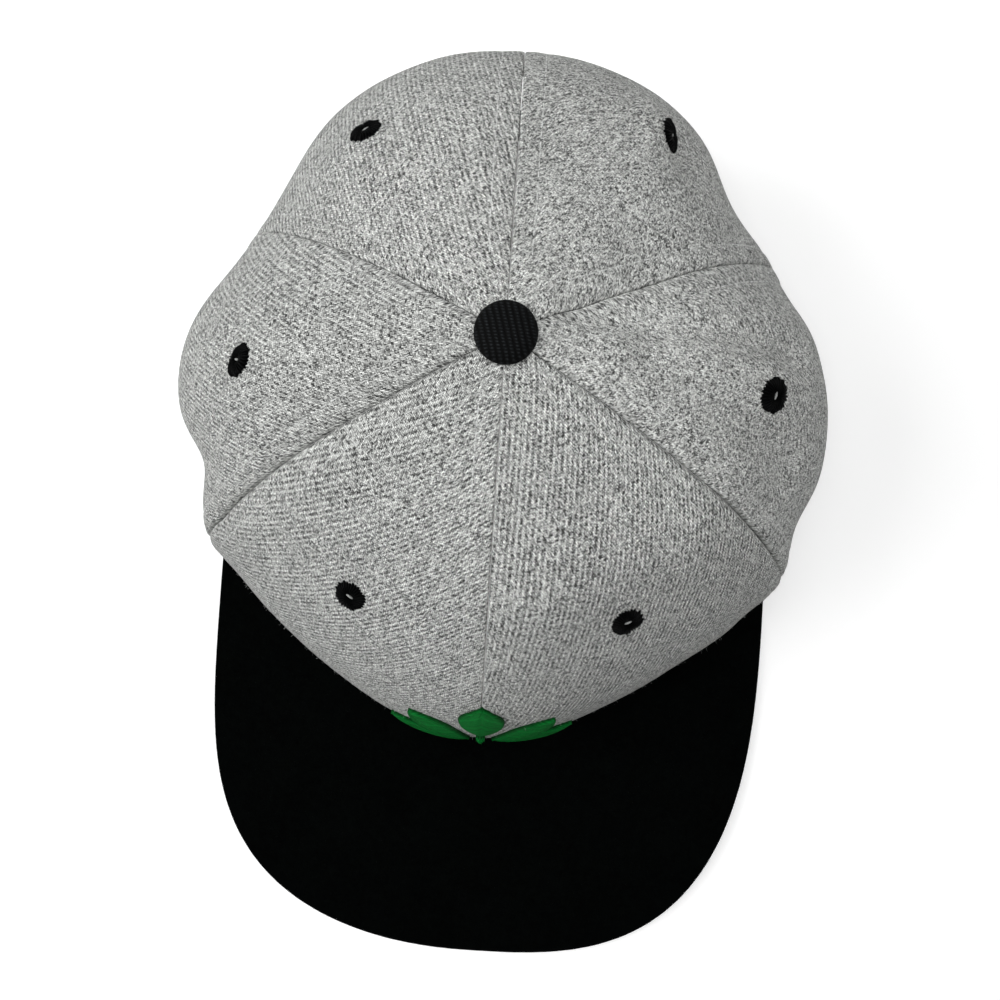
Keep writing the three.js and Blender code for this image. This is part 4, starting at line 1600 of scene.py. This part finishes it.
class CAP_OT_brim(bpy.types.Operator):
    """Lays the brim's two brushed layers, rounded above and below at the outer edge"""

    bl_idname = "cap.brim"
    bl_label = "Brim"

    def execute(self, context):
        settings = context.scene.cap_brim
        finish = brushed_cloth(settings)
        middle = BRIM_TOP_THICKNESS + SEAM_GAP * 0.4
        under_middle = middle + 0.1 * MM
        layers = [
            ("upper_brim", "brim_top", (0, middle, BRIM_ROUNDING, 0)),
            ("lower_brim", "brim_underside", (under_middle, BRIM_THICKNESS, 0, BRIM_ROUNDING)),
        ]
        for name, node, sizes in layers:
            points, quads, _ = slab(*brim_layer(*sizes))
            make_piece(name, points, quads, finish, "brim_cloth", [node])
        return {"FINISHED"}


class CAP_OT_sweatband(bpy.types.Operator):
    """Fits the sweatband inside the rim, with its stitched lower edge"""

    bl_idname = "cap.sweatband"
    bl_label = "Sweatband"

    def execute(self, context):
        settings = context.scene.cap_band
        end = 180 - BAND_END_ANGLE
        depth = CLOTH_THICKNESS + LINING_GAP
        strip = lining_strip(-end, end, band_foot, BAND_HEIGHT, depth, BAND_THICKNESS, 380, 26)
        outer, inner, azimuth, height = strip
        points, quads, kept = slab(outer, inner)
        across = np.radians(azimuth) * CROWN_HALF_WIDTH
        uv = np.stack([across, height], -1).reshape(-1, 2) / MM
        uv = np.concatenate([uv, uv])[kept]
        finish = band_twill(settings)
        make_piece("twill_sweatband", points, quads, finish, "band_cloth", ["sweatband"], uv)
        azimuth = np.linspace(-end + 1, end - 1, 900)
        height = band_foot(*rim_place(azimuth)) + BAND_STITCH_LIFT
        climb = climb_to_height(azimuth, height)
        path = cloth_point(azimuth, climb, depth + BAND_THICKNESS)
        sizes = (BAND_STITCH_LENGTH, BAND_STITCH_GAP, BAND_THREAD_THICKNESS)
        points, *faces = stitches(path, -crown_normal(azimuth, climb), *sizes)
        finish = thread_finish("band_thread", (0.03, 0.031, 0.033))
        make_piece("band_stitching", points, faces, finish, "band_cloth")
        return {"FINISHED"}


class CAP_OT_strap(bpy.types.Operator):
    """Closes the two halves of the snap strap over each other, joined by its studs"""

    bl_idname = "cap.strap"
    bl_label = "Snap strap"

    def execute(self, context):
        settings = context.scene.cap_band
        finish = moulded_plastic(settings)
        between = 0.1 * MM
        thickness = (STRAP_THICKNESS - between) / 2
        depth = CLOTH_THICKNESS + LINING_GAP
        overlap = np.degrees(STUD_SPACING * OVERLAP_STUDS / REAR_REACH)
        under = depth + thickness + between
        halves = [
            ("strap_holed_half", (180 - STRAP_END_ANGLE, 180 + overlap), depth, []),
            ("strap_studded_half", (180 - overlap, 180 + STRAP_END_ANGLE), under, ["snap_strap"]),
        ]
        top = STRAP_LIFT + STRAP_HEIGHT
        for name, ends, inset, replaced in halves:
            strip = lining_strip(*ends, strap_foot, top, inset, thickness, 120, 12)
            points, quads, _ = slab(*strip[:2])
            make_piece(name, points, quads, finish, "strap_plastic", replaced)
        offset = (np.arange(STUD_COUNT) - (STUD_COUNT - 1) / 2) * STUD_SPACING
        rings, caps = stud_mesh(settings)
        parts = []
        for azimuth in 180 + np.degrees(offset / REAR_REACH):
            climb = climb_to_height(azimuth, STRAP_LIFT + STRAP_HEIGHT / 2)
            parts.append(seated_tube(rings, caps, azimuth, climb, depth))
        make_piece("strap_studs", *joined(parts), finish, "strap_plastic")
        return {"FINISHED"}


class CAP_OT_sprig(bpy.types.Operator):
    """Embroiders the raised leaf sprig on the front"""

    bl_idname = "cap.sprig"
    bl_label = "Leaf sprig"

    def execute(self, context):
        settings = context.scene.cap_sprig
        finish = satin_stitch("leaf_satin", settings.leaf_colour, settings.stitch_pitch / MM, 0.75)
        for leaf in LEAVES:
            outer, inner, uv, tone = leaf_grid(leaf)
            points, quads, kept = slab(outer, inner)
            uv = np.concatenate([uv.reshape(-1, 2)] * 2)[kept]
            tone = np.concatenate([tone.ravel()] * 2)[kept]
            make_piece(
                f"stitched_{leaf.name}", points, quads, finish, "motif_thread",
                [f"motif_{leaf.name}"], uv, tone,
            )
        return {"FINISHED"}


class CAP_OT_stage(bpy.types.Operator):
    """Sets out the pale floor, the soft light and the camera"""

    bl_idname = "cap.stage"
    bl_label = "Floor, light and camera"

    def execute(self, context):
        settings = context.scene.cap_stage
        scene = context.scene
        scene.view_settings.view_transform = "Standard"
        self.add_floor(scene, settings)
        self.add_light(scene, settings)
        self.add_camera(scene)
        return {"FINISHED"}

    def add_floor(self, scene, settings):
        """A square under the cap that glows a little."""
        finish = Finish(
            "floor", settings.floor_colour, 0.9, specular_ior_level=0.1,
            emission_color=(1, 1, 1, 1), emission_strength=settings.floor_glow,
        )
        spot = finish.noise(finish.place(), 3, 2)
        finish.feed("Base Color", finish.shaded(settings.floor_colour, 1 + spot * 0.02))
        mesh = bpy.data.meshes.new("floor")
        half = FLOOR_HALF_SIZE
        low = CAD_BOX[0][2]
        corners = [(-half, -half, low), (half, -half, low), (half, half, low), (-half, half, low)]
        mesh.from_pydata(corners, [], [(0, 1, 2, 3)])
        mesh.materials.append(finish.material)
        floor = bpy.data.objects.new("floor", mesh)
        scene.collection.objects.link(floor)

    def add_light(self, scene, settings):
        """An even sky and three square lamps, aimed at the middle of the crown."""
        world = bpy.data.worlds.new("soft_sky")
        world.use_nodes = True
        background = world.node_tree.nodes["Background"]
        background.inputs["Color"].default_value = (1, 1, 1, 1)
        background.inputs["Strength"].default_value = settings.sky_strength
        scene.world = world
        aim = RIM_CENTRE + Vector((0, 0, CROWN_HEIGHT / 2))
        rear_power = settings.key_power * REAR_LIGHT_SHARE
        lamps = [
            ("key_light", Vector((-1.05, 0.0, 1.0)), 0.9, settings.key_power),
            ("rear_light", Vector((0.74, 0.74, 1.0)), 0.9, rear_power),
            ("top_light", Vector((0.0, 0.04, 0.65)), 0.35, settings.top_power),
        ]
        for name, place, size, power in lamps:
            lamp = bpy.data.lights.new(name, "AREA")
            lamp.size = size
            lamp.energy = power
            holder = bpy.data.objects.new(name, lamp)
            holder.rotation_euler = (place - aim).to_track_quat("Z", "Y").to_euler()
            holder.location = place
            scene.collection.objects.link(holder)

    def add_camera(self, scene):
        """A camera that looks back along a ray from its target, rolled about that ray."""
        azimuth, elevation, roll = np.radians([CAMERA_AZIMUTH, CAMERA_ELEVATION, CAMERA_ROLL])
        level = np.cos(elevation)
        back = Vector((np.sin(azimuth) * level, -np.cos(azimuth) * level, np.sin(elevation)))
        right = Vector((np.cos(azimuth), np.sin(azimuth), 0))
        up = back.cross(right)
        turned_right = right * np.cos(roll) + up * np.sin(roll)
        turned_up = up * np.cos(roll) - right * np.sin(roll)
        matrix = Matrix((turned_right, turned_up, back)).transposed().to_4x4()
        matrix.translation = RIM_CENTRE + CAMERA_TARGET + back * CAMERA_DISTANCE
        lens = bpy.data.cameras.new("camera")
        lens.lens = CAMERA_LENS
        lens.sensor_width = 36
        lens.clip_start = 0.01
        camera = bpy.data.objects.new("camera", lens)
        camera.matrix_world = matrix
        scene.collection.objects.link(camera)
        scene.camera = camera


class CAP_PT_sidebar(bpy.types.Panel):
    """Settings and steps of the cap"""

    bl_idname = "CAP_PT_sidebar"
    bl_label = "Snapback cap"
    bl_space_type = "VIEW_3D"
    bl_region_type = "UI"
    bl_category = "Cap"

    def draw(self, context):
        for name, group in GROUPS.items():
            column = self.layout.column(align=True)
            for setting in group.__annotations__:
                column.prop(getattr(context.scene, name), setting)
        for operator in OPERATORS:
            self.layout.operator(operator.bl_idname)


GROUPS = {
    "cap_crown": CapCrownSettings,
    "cap_trim": CapTrimSettings,
    "cap_brim": CapBrimSettings,
    "cap_band": CapBandSettings,
    "cap_sprig": CapSprigSettings,
    "cap_stage": CapStageSettings,
}
OPERATORS = [
    CAP_OT_crown,
    CAP_OT_topstitching,
    CAP_OT_eyelets,
    CAP_OT_button,
    CAP_OT_brim,
    CAP_OT_sweatband,
    CAP_OT_strap,
    CAP_OT_sprig,
    CAP_OT_stage,
]


def register():
    for kind in (*GROUPS.values(), *OPERATORS, CAP_PT_sidebar):
        bpy.utils.register_class(kind)
    for name, group in GROUPS.items():
        setattr(bpy.types.Scene, name, bpy.props.PointerProperty(type=group))


def unregister():
    for name in GROUPS:
        delattr(bpy.types.Scene, name)
    for kind in (CAP_PT_sidebar, *reversed(OPERATORS), *reversed(GROUPS.values())):
        bpy.utils.unregister_class(kind)


def main():
    register()
    bpy.ops.cap.crown()
    bpy.ops.cap.topstitching()
    bpy.ops.cap.eyelets()
    bpy.ops.cap.button()
    bpy.ops.cap.brim()
    bpy.ops.cap.sweatband()
    bpy.ops.cap.strap()
    bpy.ops.cap.sprig()
    bpy.ops.cap.stage()


if __name__ == "__main__":
    main()
